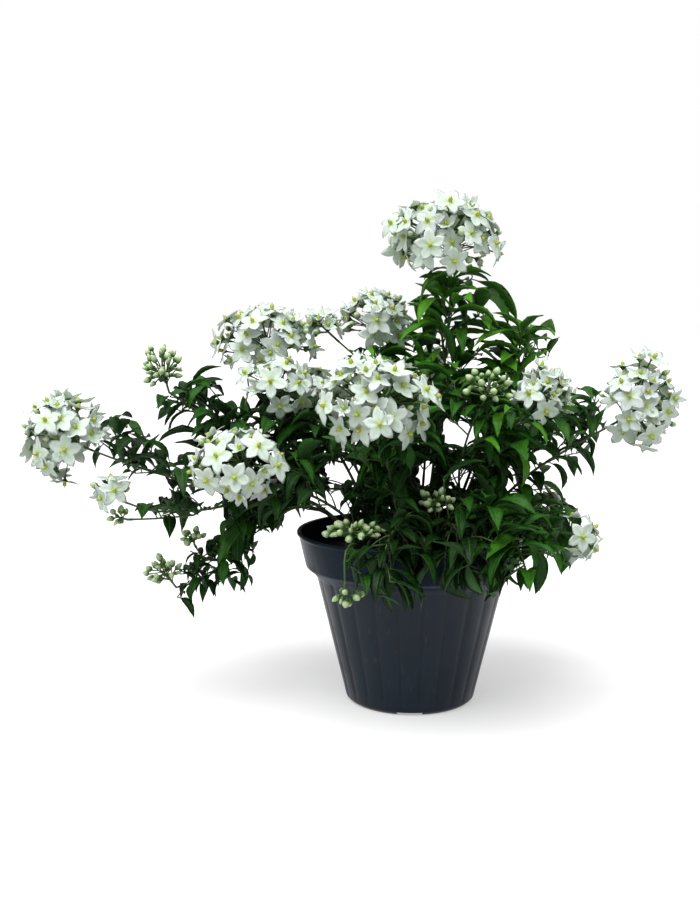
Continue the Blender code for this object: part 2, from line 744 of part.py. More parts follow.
def plan_twigs(limbs, placed):
    """Side twigs, in turn round each limb, wherever one fits."""
    twigs = []
    for number, limb in enumerate(limbs):
        draw = random.Random(2000 + number)
        turn = draw.uniform(0, 2 * math.pi)
        last = len(limb["rings"]) - 1
        first = round(TWIG_FIRST_SHARE * last) if limb["index"] == 0 else 1
        for i in range(first, last):
            tangent = (limb["points"][i + 1] - limb["points"][i]).normalized()
            side, over = cross_axes(tangent)
            for attempt in range(TWIG_TRIES):
                angle = turn + draw.uniform(-TURN_JITTER, TURN_JITTER) * (1 + attempt)
                k = free_side(limb, i, math.cos(angle) * side + math.sin(angle) * over)
                if k is None:
                    break
                root = socket(limb, i, k)
                start, out = middle_of(root), socket_normal(root)
                way = (0.55 * tangent + 0.75 * out + 0.3 * UP + 0.12 * sway(draw)).normalized()
                length = draw.uniform(*TWIG_LENGTH) * (1 - 0.06 * attempt)
                bend = (way + 0.35 * tangent - 0.25 * UP).normalized()
                knee = start + way * 0.5 * length
                points = [start, knee, knee + bend * 0.5 * length]
                radii = [TWIG_RADIUS, 0.5 * (TWIG_RADIUS + TWIG_TIP_RADIUS), TWIG_TIP_RADIUS]
                twig = make_branch(limb["stem"], "twig", points, radii, 3, root)
                twig["share"] = i / last
                twig["carrier"] = limb, (i, k)
                if not all(masses_at(point) for point in points[1:]):
                    continue
                points = [start + way * STALK_REACH] + points[1:]
                probe = make_branch("", 0, points, [TWIG_RADIUS + LEAF_CLEARANCE] * 3, 3)
                if placed.is_clear(branch_faces(probe, closed=True), branch_faces(twig, closed=True), limb):
                    limb["used"].add((i, k))
                    placed.add(branch_faces(twig, closed=True), twig)
                    twigs.append(twig)
                    break
            turn += GOLDEN_ANGLE
    return twigs


def leaf_sites(branches):
    """Where leaves may grow: at twigs' tips first, then ring by ring, mostly from the ends inward."""
    sites = []
    for number, branch in enumerate(branches):
        draw = random.Random(3000 + number)
        turn = draw.uniform(0, 2 * math.pi)
        last = len(branch["rings"]) - 1
        if branch["index"] == "twig":
            sites.append((0, draw.random(), branch, last, None))
        first = {0: LEAF_FIRST_RING}.get(branch["index"], 1)
        for i in range(first, last):
            for rank in range(LEAVES_A_RING):
                inward = 1 - branch.get("share", i / last)
                sites.append((1 + rank, inward + draw.uniform(0, INNER_LEAF_CHANCE), branch, i, turn))
                turn += GOLDEN_ANGLE
    return sorted(sites, key=lambda site: site[:2])


def seen_from_front(point):
    """Where a point is seen from the viewpoint, as (x, z) on the plane y = 0."""
    share = VIEWPOINT.y / (VIEWPOINT.y - point.y)
    return point.x * share, VIEWPOINT.z + (point.z - VIEWPOINT.z) * share


def in_ellipse(spot, centre_x, centre_z, half_x, half_z, *_):
    return ((spot[0] - centre_x) / half_x) ** 2 + ((spot[1] - centre_z) / half_z) ** 2 < 1


def masses_at(point):
    """The leafy masses that a point is seen inside of, or none where it is seen in a gap."""
    spot = [value / MM for value in seen_from_front(point)]
    if any(in_ellipse(spot, *gap) for gap in GAPS):
        return []
    return [mass for mass in LEAFY_MASSES.values() if in_ellipse(spot, *mass)]


def hides_head(points, heads):
    """Whether any point stands in front of a head's flowers, as they face or as they are seen."""
    for head in heads:
        centre, half, dome = head["centre"], head["half"], head["dome"]
        seen = seen_from_front(centre)
        for point in points:
            away = point - centre
            depth = away.dot(dome)
            beside = (away - dome * depth).length
            if 0 < depth < CLEAR_BEFORE_HEAD and beside < max(half) + CLEAR_BESIDE_HEAD:
                return True
            if away.y < 0 and dome.y < 0 and in_ellipse(seen_from_front(point), *seen, half.x, half.z):
                return True
    return False


def root_for(points, up):
    """The same three points, begun so that the last of them is the uppermost."""
    top = max(range(3), key=lambda j: points[j].dot(up))
    return points[(top + 1) % 3], points[(top + 2) % 3], points[top]


def leaf_try(site, draw, attempt):
    """A leaf at a site, turned further and made smaller with each attempt, or None."""
    rank, _, branch, i, turn = site
    before = branch["points"][max(i - 1, 0)] if turn is None else branch["points"][i]
    after = branch["points"][i] if turn is None else branch["points"][i + 1]
    tangent = (after - before).normalized()
    k = None
    if turn is None:
        root = branch["rings"][i]
        way = (tangent + 0.3 * UP + 0.25 * sway(draw)).normalized()
    else:
        side, over = cross_axes(tangent)
        angle = turn + draw.uniform(-TURN_JITTER, TURN_JITTER) * (1 + attempt)
        k = free_side(branch, i, math.cos(angle) * side + math.sin(angle) * over)
        if k is None:
            return None
        root = socket(branch, i, k)
        way = (0.45 * tangent + 0.75 * socket_normal(root) + 0.45 * UP + 0.15 * sway(draw)).normalized()
        if way.dot(socket_normal(root)) < LEAST_SOCKET_FIT:
            return None
    length = draw.uniform(*LEAF_LENGTH) * (1 - 0.05 * attempt) * (SMALL_LEAF_SHARE if rank > 0 else 1.0)
    length *= min((mass[-1] for mass in masses_at(branch["points"][i])), default=1.0)
    leaf = {
        "stations": SMALL_LEAF_STATIONS if rank > 0 else LEAF_STATIONS,
        "stem": branch["stem"], "branch": branch, "side": (i, k), "start": middle_of(root),
        "length": length, "width": length * draw.uniform(*LEAF_WIDTH_SHARE),
        "heading": math.atan2(way.y, way.x), "rise": math.asin(max(-1.0, min(1.0, way.z))),
        "droop": draw.uniform(*LEAF_DROOP), "roll": draw.uniform(-LEAF_ROLL, LEAF_ROLL),
        "fold": draw.uniform(*LEAF_FOLD),
    }
    leaf["root"] = root_for(root, leaf_spine(leaf, 0.0)[3])
    return leaf


def leaf_probe(leaf):
    """The leaf's faces a little larger, without the foot of its stalk."""
    point, tangent, side, normal = leaf_spine(leaf, STALK_REACH / leaf["length"])
    wide = PETIOLE_RADIUS + LEAF_CLEARANCE
    root = point - side * wide, point + side * wide, point + normal * wide
    return leaf_faces(leaf, root, LEAF_CLEARANCE)


def plan_leaves(branches, heads, placed):
    leaves = []
    for number, site in enumerate(leaf_sites(branches)):
        draw = random.Random(5000 + number)
        for attempt in range(LEAF_TRIES):
            leaf = leaf_try(site, draw, attempt)
            if leaf is None:
                continue
            if not all(masses_at(leaf_spine(leaf, share)[0]) for share in LEAF_LOOKS):
                continue
            probe = leaf_probe(leaf)
            points = [point for face in probe for point in face]
            if min(point.z for point in points) < LOWEST_LEAF or hides_head(points, heads):
                continue
            if placed.is_clear(probe, leaf_faces(leaf), leaf["branch"]):
                leaves.append(leaf)
                if leaf["side"][1] is None:
                    leaf["branch"]["end_used"] = True
                else:
                    leaf["branch"]["used"].add(leaf["side"])
                placed.add(leaf_faces(leaf), leaf["branch"])
                break
        if len(leaves) == MOST_LEAVES:
            break
    return leaves


def shed_bare_twigs(twigs):
    """Twigs that found room for a leaf. The others leave their carrier whole again."""
    kept = []
    for twig in twigs:
        if twig["end_used"] or twig["used"]:
            kept.append(twig)
        else:
            limb, side = twig["carrier"]
            limb["used"].discard(side)
    return kept


# Blender objects


def look(name, colour, roughness):
    found = bpy.data.materials.new(name)
    found.use_nodes = True
    shader = found.node_tree.nodes["Principled BSDF"]
    shader.inputs["Base Color"].default_value = (*colour, 1.0)
    shader.inputs["Roughness"].default_value = roughness
    shader.inputs["Metallic"].default_value = 0.0
    found.diffuse_color = (*colour, 1.0)
    return found


def mesh_object(name, faces, origin, look_of, home=None):
    verts, rows = indexed(faces)
    mesh = bpy.data.meshes.new(name)
    mesh.from_pydata([vertex - origin for vertex in verts], [], rows)
    mesh.materials.append(look_of)
    mesh.shade_smooth()
    mesh.set_sharp_from_angle(angle=SHARP_ANGLE)
    found = bpy.data.objects.new(name, mesh)
    found.location = origin
    (home or bpy.context.scene.collection).objects.link(found)
    return found


def cut(target, cutters):
    """Cuts every cutter in the collection from the target at once, applies it and removes them."""
    modifier = target.modifiers.new("cut", "BOOLEAN")
    modifier.operation = "DIFFERENCE"
    modifier.operand_type = "COLLECTION"
    modifier.collection = cutters
    modifier.solver = "EXACT"
    bpy.context.view_layer.update()
    graph = bpy.context.evaluated_depsgraph_get()
    result = bpy.data.meshes.new_from_object(target.evaluated_get(graph), depsgraph=graph)
    target.modifiers.clear()
    result.set_sharp_from_angle(angle=SHARP_ANGLE)
    old = target.data
    target.data = result
    bpy.data.meshes.remove(old)
    for cutter in list(cutters.objects):
        mesh = cutter.data
        bpy.data.objects.remove(cutter)
        bpy.data.meshes.remove(mesh)
    bpy.data.collections.remove(cutters)


def cutter_collection():
    found = bpy.data.collections.new("cutters")
    bpy.context.scene.collection.children.link(found)
    return found


# Pot and soil


def prism(foot, height, radius, sides):
    """An upright prism from its foot's middle."""
    low = ring(foot, UP, Vector((1.0, 0.0, 0.0)), radius, sides)
    high = [point + UP * height for point in low]
    walls = [[low[k], low[(k + 1) % sides], high[(k + 1) % sides], high[k]] for k in range(sides)]
    return walls + [list(reversed(low)), high]


def box(middle, along, across, up):
    """A box from its middle and its three half edges, along x across pointing with up."""
    low = [middle + a * along + b * across - up for a, b in ((-1, -1), (1, -1), (1, 1), (-1, 1))]
    high = [point + 2 * up for point in low]
    walls = [[low[k], low[(k + 1) % 4], high[(k + 1) % 4], high[k]] for k in range(4)]
    return walls + [list(reversed(low)), high]


def turned(profile, segments):
    """A turned solid from (radius, height, flute depth) rows; the first and last lie on the axis."""
    rings = []
    for radius, height, flute in profile:
        if radius == 0:
            rings.append([Vector((0.0, 0.0, height))])
            continue
        rings.append([])
        for k in range(segments):
            angle = 2 * math.pi * k / segments - math.pi / 2
            reach = radius - (flute if k % 2 else 0.0)
            rings[-1].append(Vector((reach * math.cos(angle), reach * math.sin(angle), height)))
    faces = []
    for lower, upper in zip(rings, rings[1:]):
        for k in range(segments):
            after = (k + 1) % segments
            if len(lower) == 1:
                faces.append([lower[0], upper[after], upper[k]])
            elif len(upper) == 1:
                faces.append([lower[k], lower[after], upper[0]])
            else:
                faces.append([lower[k], lower[after], upper[after], upper[k]])
    return faces


POT_INSIDE = [
    (RIM_RADIUS - LIP_OVERHANG - WALL, POT_HEIGHT - 0.6 * MM),
    (COLLAR_FOOT_RADIUS - WALL, COLLAR_FOOT_HEIGHT + 1.6 * MM),
    (BODY_TOP_RADIUS - FLUTE_DEPTH - WALL, BODY_TOP_HEIGHT + 1.5 * MM),
    (CORNER_RADIUS - WALL + 0.2 * MM, CORNER_HEIGHT + 5.0 * MM),
    (FOOT_RADIUS, FLOOR_TOP),
]


def pot_shape():
    outside = [
        (0.0, 0.0, 0.0),
        (FOOT_PAD_RADIUS, 0.0, 0.0),
        (FOOT_PAD_RADIUS + FOOT_BEVEL, FOOT_CHANNEL_HEIGHT, 0.0),
        (FOOT_RADIUS - FOOT_RING_WIDTH - FOOT_BEVEL, FOOT_CHANNEL_HEIGHT, 0.0),
        (FOOT_RADIUS - FOOT_RING_WIDTH, 0.0, 0.0),
        (FOOT_RADIUS, 0.0, 0.0),
        (CORNER_RADIUS, CORNER_HEIGHT, 0.0),
        (BODY_FOOT_RADIUS, BODY_FOOT_HEIGHT, FLUTE_DEPTH),
        (BODY_TOP_RADIUS, BODY_TOP_HEIGHT, FLUTE_DEPTH),
        (STEP_RADIUS, STEP_HEIGHT, 0.0),
        (COLLAR_FOOT_RADIUS, COLLAR_FOOT_HEIGHT, 0.0),
        (RIM_RADIUS - LIP_OVERHANG, POT_HEIGHT - LIP_HEIGHT, 0.0),
        (RIM_RADIUS, POT_HEIGHT - LIP_HEIGHT + 0.8 * MM, 0.0),
        (RIM_RADIUS - 0.4 * MM, POT_HEIGHT, 0.0),
    ]
    inside = [(radius, height, 0.0) for radius, height in POT_INSIDE]
    return turned(outside + inside + [(0.0, FLOOR_TOP, 0.0)], POT_SEGMENTS)


def make_pot(look_of):
    origin = Vector((0.0, 0.0, 0.0))
    pot = mesh_object("pot", pot_shape(), origin, look_of)
    cutters = cutter_collection()
    for k in range(DRAIN_HOLES):
        angle = 2 * math.pi * (k + 0.5) / DRAIN_HOLES
        foot = Vector((DRAIN_CIRCLE * math.cos(angle), DRAIN_CIRCLE * math.sin(angle), -MM))
        mesh_object(f"drain_cutter_{k}", prism(foot, FLOOR_TOP + 3 * MM, DRAIN_RADIUS, DRAIN_SIDES), origin,
                    look_of, cutters)
    for k in range(NOTCHES):
        angle = 2 * math.pi * k / NOTCHES
        out = Vector((math.cos(angle), math.sin(angle), 0.0))
        ring_middle = out * (FOOT_RADIUS - 0.5 * FOOT_RING_WIDTH)
        shape = box(ring_middle, out * (0.5 * FOOT_RING_WIDTH + 5 * MM), UP.cross(out) * 0.5 * NOTCH_WIDTH,
                    UP * NOTCH_HEIGHT)
        mesh_object(f"notch_cutter_{k}", shape, origin, look_of, cutters)
    cut(pot, cutters)
    return pot


def soil_shape():
    """Soil that fills the pot's inside, a gap away from it, with a slightly uneven top."""
    draw = random.Random(11)
    gap = SEAT_GAP
    collar, step, corner, floor = POT_INSIDE[1:]
    rows = [
        (floor[0] - 2 * gap, floor[1] + gap),
        (corner[0] - 1.4 * gap, corner[1] + 0.5 * gap),
        (step[0] - 1.4 * gap, step[1] + 0.6 * gap),
        (collar[0] - 1.4 * gap, collar[1] + 0.6 * gap),
    ]
    edge_share = (SOIL_TOP - rows[-1][1]) / (POT_INSIDE[0][1] - rows[-1][1])
    edge = rows[-1][0] + (POT_INSIDE[0][0] - POT_INSIDE[1][0]) * edge_share - 0.3 * gap
    profile = [(0.0, rows[0][1], 0.0)] + [(radius, height, 0.0) for radius, height in rows]
    profile += [(edge, SOIL_TOP, 0.0)]
    profile += [(edge * share, SOIL_TOP, 0.0) for share in SOIL_RINGS] + [(0.0, SOIL_TOP, 0.0)]
    lift = {}
    faces = turned(profile, SOIL_SEGMENTS)
    for face in faces:
        for j, point in enumerate(face):
            if point.z > SOIL_TOP - 1e-7 and point.length_squared < (0.99 * edge) ** 2 + SOIL_TOP**2:
                key = tuple(point)
                if key not in lift:
                    lift[key] = point + UP * draw.uniform(-SOIL_BUMP, SOIL_BUMP)
                face[j] = lift[key]
    return faces


def make_soil(look_of):
    origin = Vector((0.0, 0.0, 0.0))
    soil = mesh_object("soil", soil_shape(), origin, look_of)
    cutters = cutter_collection()
    radius = (STEM_RADIUS + SEAT_GAP) / math.cos(math.pi / HOLE_SIDES)
    for name, stem in STEMS.items():
        foot = Vector((stem["hole"][0] * MM, stem["hole"][1] * MM, SOIL_TOP - HOLE_DEPTH - SEAT_GAP))
        mesh_object(f"hole_cutter_{name}", prism(foot, HOLE_DEPTH + 6 * MM, radius, HOLE_SIDES), origin,
                    look_of, cutters)
    cut(soil, cutters)
    return soil


def main():
    for old in list(bpy.data.objects):
        bpy.data.objects.remove(old, do_unlink=True)
    plastic = look("dark_plastic", (0.024, 0.032, 0.042), 0.42)
    earth = look("potting_soil", (0.022, 0.014, 0.009), 0.95)
    foliage = look("leaf_green", (0.014, 0.065, 0.010), 0.45)
    petals = look("petal_white", (0.76, 0.80, 0.76), 0.55)
    cream = look("bud_cream", (0.45, 0.56, 0.28), 0.5)

    placed = Placed()
    placed.add(pot_shape())
    placed.add(soil_shape())
    limbs = plan_limbs()
    for limb in limbs:
        placed.add(branch_faces(limb, closed=True), limb)
    heads = plan_heads(limbs, placed)
    twigs = plan_twigs(limbs, placed)
    leaves = plan_leaves(limbs + twigs, heads, placed)
    branches = limbs + shed_bare_twigs(twigs)

    parts = [make_pot(plastic), make_soil(earth)]
    for name, stem in STEMS.items():
        origin = Vector((stem["hole"][0] * MM, stem["hole"][1] * MM, SOIL_TOP - HOLE_DEPTH))
        faces = [face for branch in branches if branch["stem"] == name for face in branch_faces(branch)]
        faces += [face for leaf in leaves if leaf["stem"] == name for face in leaf_faces(leaf)]
        parts.append(mesh_object(f"leafy_stem_{name}", faces, origin, foliage))
    for head in heads:
        faces = branch_faces(head["axis"])
        faces += [face for item in head["items"] for face in item_faces(item)]
        tint = petals if head["name"].startswith("head") else cream
        parts.append(mesh_object(head["name"], faces, head["axis"]["points"][0], tint))

    whole = bpy.data.objects.new("potted_potato_vine", None)
    bpy.context.scene.collection.objects.link(whole)
    for part in parts:
        part.parent = whole


main()
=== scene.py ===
"""Looks for a potted potato vine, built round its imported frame.

The plan of the plant follows the same rules, numbers and seeds as the solids' source, so each
finer piece lies where its node is. Then come the shoots, leaves and flowers that the solids leave
out, kept only where they clear everything that is there, and the materials, light and camera.
"""

import math
import random

import bpy
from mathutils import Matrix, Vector, noise
from mathutils.bvhtree import BVHTree


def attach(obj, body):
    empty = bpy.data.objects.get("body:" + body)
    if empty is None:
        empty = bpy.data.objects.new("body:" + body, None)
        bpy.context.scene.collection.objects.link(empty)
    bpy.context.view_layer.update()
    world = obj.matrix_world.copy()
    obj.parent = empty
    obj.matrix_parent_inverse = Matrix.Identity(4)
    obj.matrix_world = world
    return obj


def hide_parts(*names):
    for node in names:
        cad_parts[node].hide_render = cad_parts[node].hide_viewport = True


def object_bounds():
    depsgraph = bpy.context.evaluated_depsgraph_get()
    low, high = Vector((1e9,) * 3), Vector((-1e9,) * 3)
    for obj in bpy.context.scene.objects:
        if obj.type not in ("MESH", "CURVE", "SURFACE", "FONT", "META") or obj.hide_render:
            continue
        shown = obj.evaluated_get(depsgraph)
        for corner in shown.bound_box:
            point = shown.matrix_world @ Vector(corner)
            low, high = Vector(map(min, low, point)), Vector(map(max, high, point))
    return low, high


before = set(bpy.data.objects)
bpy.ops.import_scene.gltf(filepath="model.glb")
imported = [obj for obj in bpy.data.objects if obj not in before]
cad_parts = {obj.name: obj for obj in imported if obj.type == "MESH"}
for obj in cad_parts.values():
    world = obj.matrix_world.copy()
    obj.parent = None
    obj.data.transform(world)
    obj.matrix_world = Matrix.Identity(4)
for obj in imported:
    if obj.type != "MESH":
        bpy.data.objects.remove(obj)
cad_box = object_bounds()

MM = 0.001
GOLDEN_ANGLE = math.radians(137.508)
UP = Vector((0.0, 0.0, 1.0))
FIFTH = math.tau / 5

# Clearance between pieces of the plant that only stand next to each other
SEAT_GAP = 0.3 * MM
LEAF_CLEARANCE = 0.45 * MM

# Pot: a round tapered nursery pot of about 3 litres
POT_HEIGHT = 143.0 * MM
RIM_RADIUS = 95.0 * MM
LIP_HEIGHT = 3.4 * MM
LIP_OVERHANG = 1.7 * MM
COLLAR_FOOT_RADIUS = 87.4 * MM
COLLAR_FOOT_HEIGHT = 113.6 * MM
STEP_RADIUS = 82.0 * MM
STEP_HEIGHT = 109.6 * MM
BODY_TOP_RADIUS = 78.6 * MM
BODY_TOP_HEIGHT = 105.0 * MM
BODY_FOOT_RADIUS = 56.9 * MM
BODY_FOOT_HEIGHT = 15.5 * MM
CORNER_RADIUS = 53.8 * MM
CORNER_HEIGHT = 3.0 * MM
FOOT_RADIUS = 50.2 * MM
FOOT_RING_WIDTH = 4.0 * MM
FOOT_CHANNEL_HEIGHT = 3.4 * MM
FOOT_PAD_RADIUS = 28.0 * MM
FOOT_BEVEL = 1.4 * MM
FLOOR_TOP = 5.4 * MM
WALL = 1.4 * MM
FLUTES = 24
FLUTE_DEPTH = 0.8 * MM
POT_SEGMENTS = 2 * FLUTES
DRAIN_HOLES = 8
DRAIN_RADIUS = 4.2 * MM
DRAIN_CIRCLE = 37.0 * MM
NOTCHES = 4
NOTCH_WIDTH = 20.5 * MM
NOTCH_HEIGHT = 2.6 * MM
POT_INSIDE = [
    (RIM_RADIUS - LIP_OVERHANG - WALL, POT_HEIGHT - 0.6 * MM),
    (COLLAR_FOOT_RADIUS - WALL, COLLAR_FOOT_HEIGHT + 1.6 * MM),
    (BODY_TOP_RADIUS - FLUTE_DEPTH - WALL, BODY_TOP_HEIGHT + 1.5 * MM),
    (CORNER_RADIUS - WALL + 0.2 * MM, CORNER_HEIGHT + 5.0 * MM),
    (FOOT_RADIUS, FLOOR_TOP),
]
# From the foot's middle up to the lip, then down inside: radius, height and share of flute depth
POT_OUTLINE = [
    (0.0, 0.0, 0.0),
    (FOOT_PAD_RADIUS, 0.0, 0.0),
    (FOOT_PAD_RADIUS + FOOT_BEVEL, FOOT_CHANNEL_HEIGHT, 0.0),
    (FOOT_RADIUS - FOOT_RING_WIDTH - FOOT_BEVEL, FOOT_CHANNEL_HEIGHT, 0.0),
    (FOOT_RADIUS - FOOT_RING_WIDTH, 0.0, 0.0),
    (FOOT_RADIUS, 0.0, 0.0),
    (CORNER_RADIUS, CORNER_HEIGHT, 0.0),
    (BODY_FOOT_RADIUS, BODY_FOOT_HEIGHT, 1.0),
    (BODY_TOP_RADIUS, BODY_TOP_HEIGHT, 1.0),
    (STEP_RADIUS, STEP_HEIGHT, 0.0),
    (COLLAR_FOOT_RADIUS, COLLAR_FOOT_HEIGHT, 0.0),
    (RIM_RADIUS - LIP_OVERHANG, POT_HEIGHT - LIP_HEIGHT, 0.0),
    (RIM_RADIUS, POT_HEIGHT - LIP_HEIGHT + 0.8 * MM, 0.0),
    (RIM_RADIUS - 0.4 * MM, POT_HEIGHT, 0.0),
    *[(radius, height, 0.0) for radius, height in POT_INSIDE],
    (0.0, FLOOR_TOP, 0.0),
]

# Soil
SOIL_TOP = 120.0 * MM
SOIL_BUMP = 1.6 * MM
SOIL_SEGMENTS = 24
SOIL_RINGS = (0.7, 0.35)
HOLE_DEPTH = 22.0 * MM

# Stems and twigs
STEM_RADIUS = 1.9 * MM
TIP_RADIUS = 0.95 * MM
STEM_SIDES = 4
STEM_STEP = 20.0 * MM
ROUTE_PARTS = 8
LIMB_BEND = 4.0 * MM
STEM_NECK = 5.0 * MM
LIMB_SHARE = 0.82
TWIG_RADIUS = 0.8 * MM
TWIG_TIP_RADIUS = 0.6 * MM
TWIG_RADII = (TWIG_RADIUS, 0.5 * (TWIG_RADIUS + TWIG_TIP_RADIUS), TWIG_TIP_RADIUS)
TWIG_LENGTH = (23.0 * MM, 38.0 * MM)
# Where twigs begin along a stem's first limb, as a share of its rings, and how far they turn
# from the next one's place while room is looked for
TWIG_FIRST_SHARE = 0.5
TURN_JITTER = 0.4
TWIG_TRIES = 8
# How far out from its root a twig, leaf or flower stalk is first tested, and how squarely it
# leaves the side that it grows from, as a cosine
STALK_REACH = 1.8 * MM
LEAST_SOCKET_FIT = 0.3

# Leaves
LEAF_LENGTH = (34.0 * MM, 52.0 * MM)
LEAF_WIDTH_SHARE = (0.30, 0.38)
LEAF_THICKNESS = 1.0 * MM
PETIOLE_RADIUS = 0.6 * MM
# Stations along a leaf: share of its length and share of its width. Only the leaves at the twigs'
# tips have two stations.
LEAF_STATIONS = ((0.40, 1.0), (0.72, 0.70))
SMALL_LEAF_STATIONS = ((0.48, 1.0),)
SMALL_LEAF_SHARE = 0.9
# Angles: down along a leaf's length, twist over its length, and up from its midrib on each side
LEAF_DROOP = (0.8, 2.0)
LEAF_ROLL = 0.7
LEAF_FOLD = (0.25, 0.6)
# The steps in which a leaf's arched midrib is followed
SPINE_STEPS = 8
LEAF_FIRST_RING = 3
LEAVES_A_RING = 2
INNER_LEAF_CHANCE = 0.6
LEAF_TRIES = 10
MOST_LEAVES = 288
LOWEST_LEAF = 22.0 * MM
# The places along a leaf that have to be seen inside a leafy mass
LEAF_LOOKS = (0.4, 0.6, 0.8, 1.0)
# No leaf stands this near in front of a flower head
CLEAR_BEFORE_HEAD = 55.0 * MM
CLEAR_BESIDE_HEAD = 6.0 * MM

# Flowers and buds
FLOWER_RADIUS = 15.5 * MM
SINUS_SHARE = 0.5
PETAL_TOP = 0.7 * MM
PETAL_UNDER = 1.6 * MM
STAMEN_LENGTH = 6.2 * MM
STAMEN_RADIUS = 1.9 * MM
PEDICEL_RADIUS = 0.65 * MM
CALYX_RADIUS = 1.1 * MM
HEAD_AXIS_RADIUS = 1.1 * MM
AXIS_SIDES = 5
HEAD_STUB = 4.0 * MM
HEAD_TRIES = 14
BUD_RADIUS = 2.7 * MM
BUD_LENGTH = 8.0 * MM
# Petal tips stand this far forward of the flower's middle, or behind it
PETAL_LIFT = (-1.5 * MM, 3.0 * MM)
# Ranges of flowers' and buds' widths and of buds' lengths, as shares of the sizes above
SIZES = {"flower": (0.88, 1.06), "bud": (0.75, 1.1), "length": (0.8, 1.1)}
# Flowers spread over this much of a dome, and lie at about its surface
DOME_COVER = math.radians(128)
DOME_DEPTHS = (0.86, 1.08)
DOME_JITTER = 0.1
SPIN_JITTER = 0.15

# Each leafy stem: its hole in the soil (x, y), then its limbs as routes of points in mm.
# The first limb rises from the hole. Any other starts at the nearest point of an earlier one.
STEMS = {
    "far_left": ((-48, -6), [
        [(-58, -8, 148), (-84, -12, 168), (-112, -14, 172), (-150, -16, 176), (-194, -18, 187),
         (-232, -20, 199), (-262, -20, 210)],
        [(-112, -14, 172), (-140, -26, 168), (-172, -34, 163), (-208, -38, 163), (-230, -40, 170)],
        [(-172, -34, 163), (-200, -37, 157), (-226, -39, 156)],
    ]),
    "left_drop": ((-52, 14), [
        [(-62, 12, 146), (-84, 8, 160), (-112, 2, 158), (-136, -6, 150), (-147, -12, 131),
         (-160, -16, 112), (-175, -20, 100), (-189, -24, 98)],
        [(-162, -16, 112), (-172, -18, 121), (-177, -20, 130)],
    ]),
    "upper_left": ((-32, 20), [
        [(-40, 20, 160), (-60, 18, 202), (-84, 18, 234), (-104, 20, 256), (-116, 22, 270)],
        [(-60, 18, 202), (-96, 12, 214), (-136, 8, 226), (-172, 4, 238), (-198, 2, 254)],
        [(-84, 18, 234), (-92, 4, 238), (-98, -5, 244)],
    ]),
    "mid_left": ((-34, -28), [
        [(-46, -34, 152), (-70, -48, 174), (-94, -62, 186), (-114, -72, 193)],
    ]),
    "centre": ((-10, -28), [
        [(-12, -36, 160), (-16, -58, 195), (-20, -80, 220), (-22, -94, 234)],
    ]),
    "crown": ((14, 8), [
        [(16, 8, 168), (22, 9, 228), (28, 10, 288), (31, 10, 330), (32, 10, 356)],
        [(16, 8, 168), (-6, 22, 200), (-20, 32, 244), (-30, 38, 280), (-34, 40, 298)],
        [(-26, 36, 262), (-46, 34, 284), (-62, 32, 298)],
    ]),
    "upper_right": ((34, 22), [
        [(42, 24, 164), (60, 28, 212), (80, 30, 254), (94, 28, 280), (102, 24, 294)],
    ]),
    "right_inner": ((32, -14), [
        [(40, -20, 160), (54, -28, 200), (74, -34, 226), (90, -38, 242)],
        [(40, -20, 160), (38, -40, 196), (46, -52, 232), (54, -58, 250)],
    ]),
    "far_right": ((52, 4), [
        [(62, 4, 150), (84, 0, 178), (110, -4, 200), (140, -8, 219), (162, -10, 232)],
    ]),
    "lower_right": ((50, -26), [
        [(62, -34, 148), (82, -44, 158), (102, -50, 157), (116, -52, 152)],
        [(82, -44, 158), (96, -32, 166), (106, -24, 170)],
    ]),
    "right_drape": ((40, -46), [
        [(50, -58, 148), (66, -78, 158), (80, -94, 148), (88, -100, 126)],
    ]),
    "front_right": ((18, -52), [
        [(22, -64, 150), (30, -88, 164), (38, -106, 154), (42, -114, 134)],
        [(22, -64, 150), (20, -62, 164)],
    ]),
    "front": ((-6, -56), [
        [(-8, -70, 150), (-12, -94, 160), (-18, -112, 150), (-20, -118, 136)],
    ]),
    "front_left": ((-30, -50), [
        [(-36, -60, 138), (-42, -72, 147)],
        [(-42, -72, 147), (-46, -94, 150), (-50, -106, 136), (-49, -107, 122)],
    ]),
    "back_left": ((-24, 46), [
        [(-34, 56, 158), (-58, 80, 198), (-78, 100, 222)],
        [(-34, 56, 158), (-76, 72, 166), (-108, 86, 158), (-128, 96, 140)],
    ]),
    "back": ((8, 50), [
        [(10, 62, 162), (14, 94, 208), (16, 116, 232)],
        [(10, 62, 162), (-2, 104, 168), (-18, 134, 160)],
    ]),
    "back_right": ((38, 44), [
        [(50, 56, 158), (76, 80, 194), (98, 98, 218)],
        [(50, 56, 158), (88, 62, 162), (116, 74, 152), (134, 82, 134)],
    ]),
}

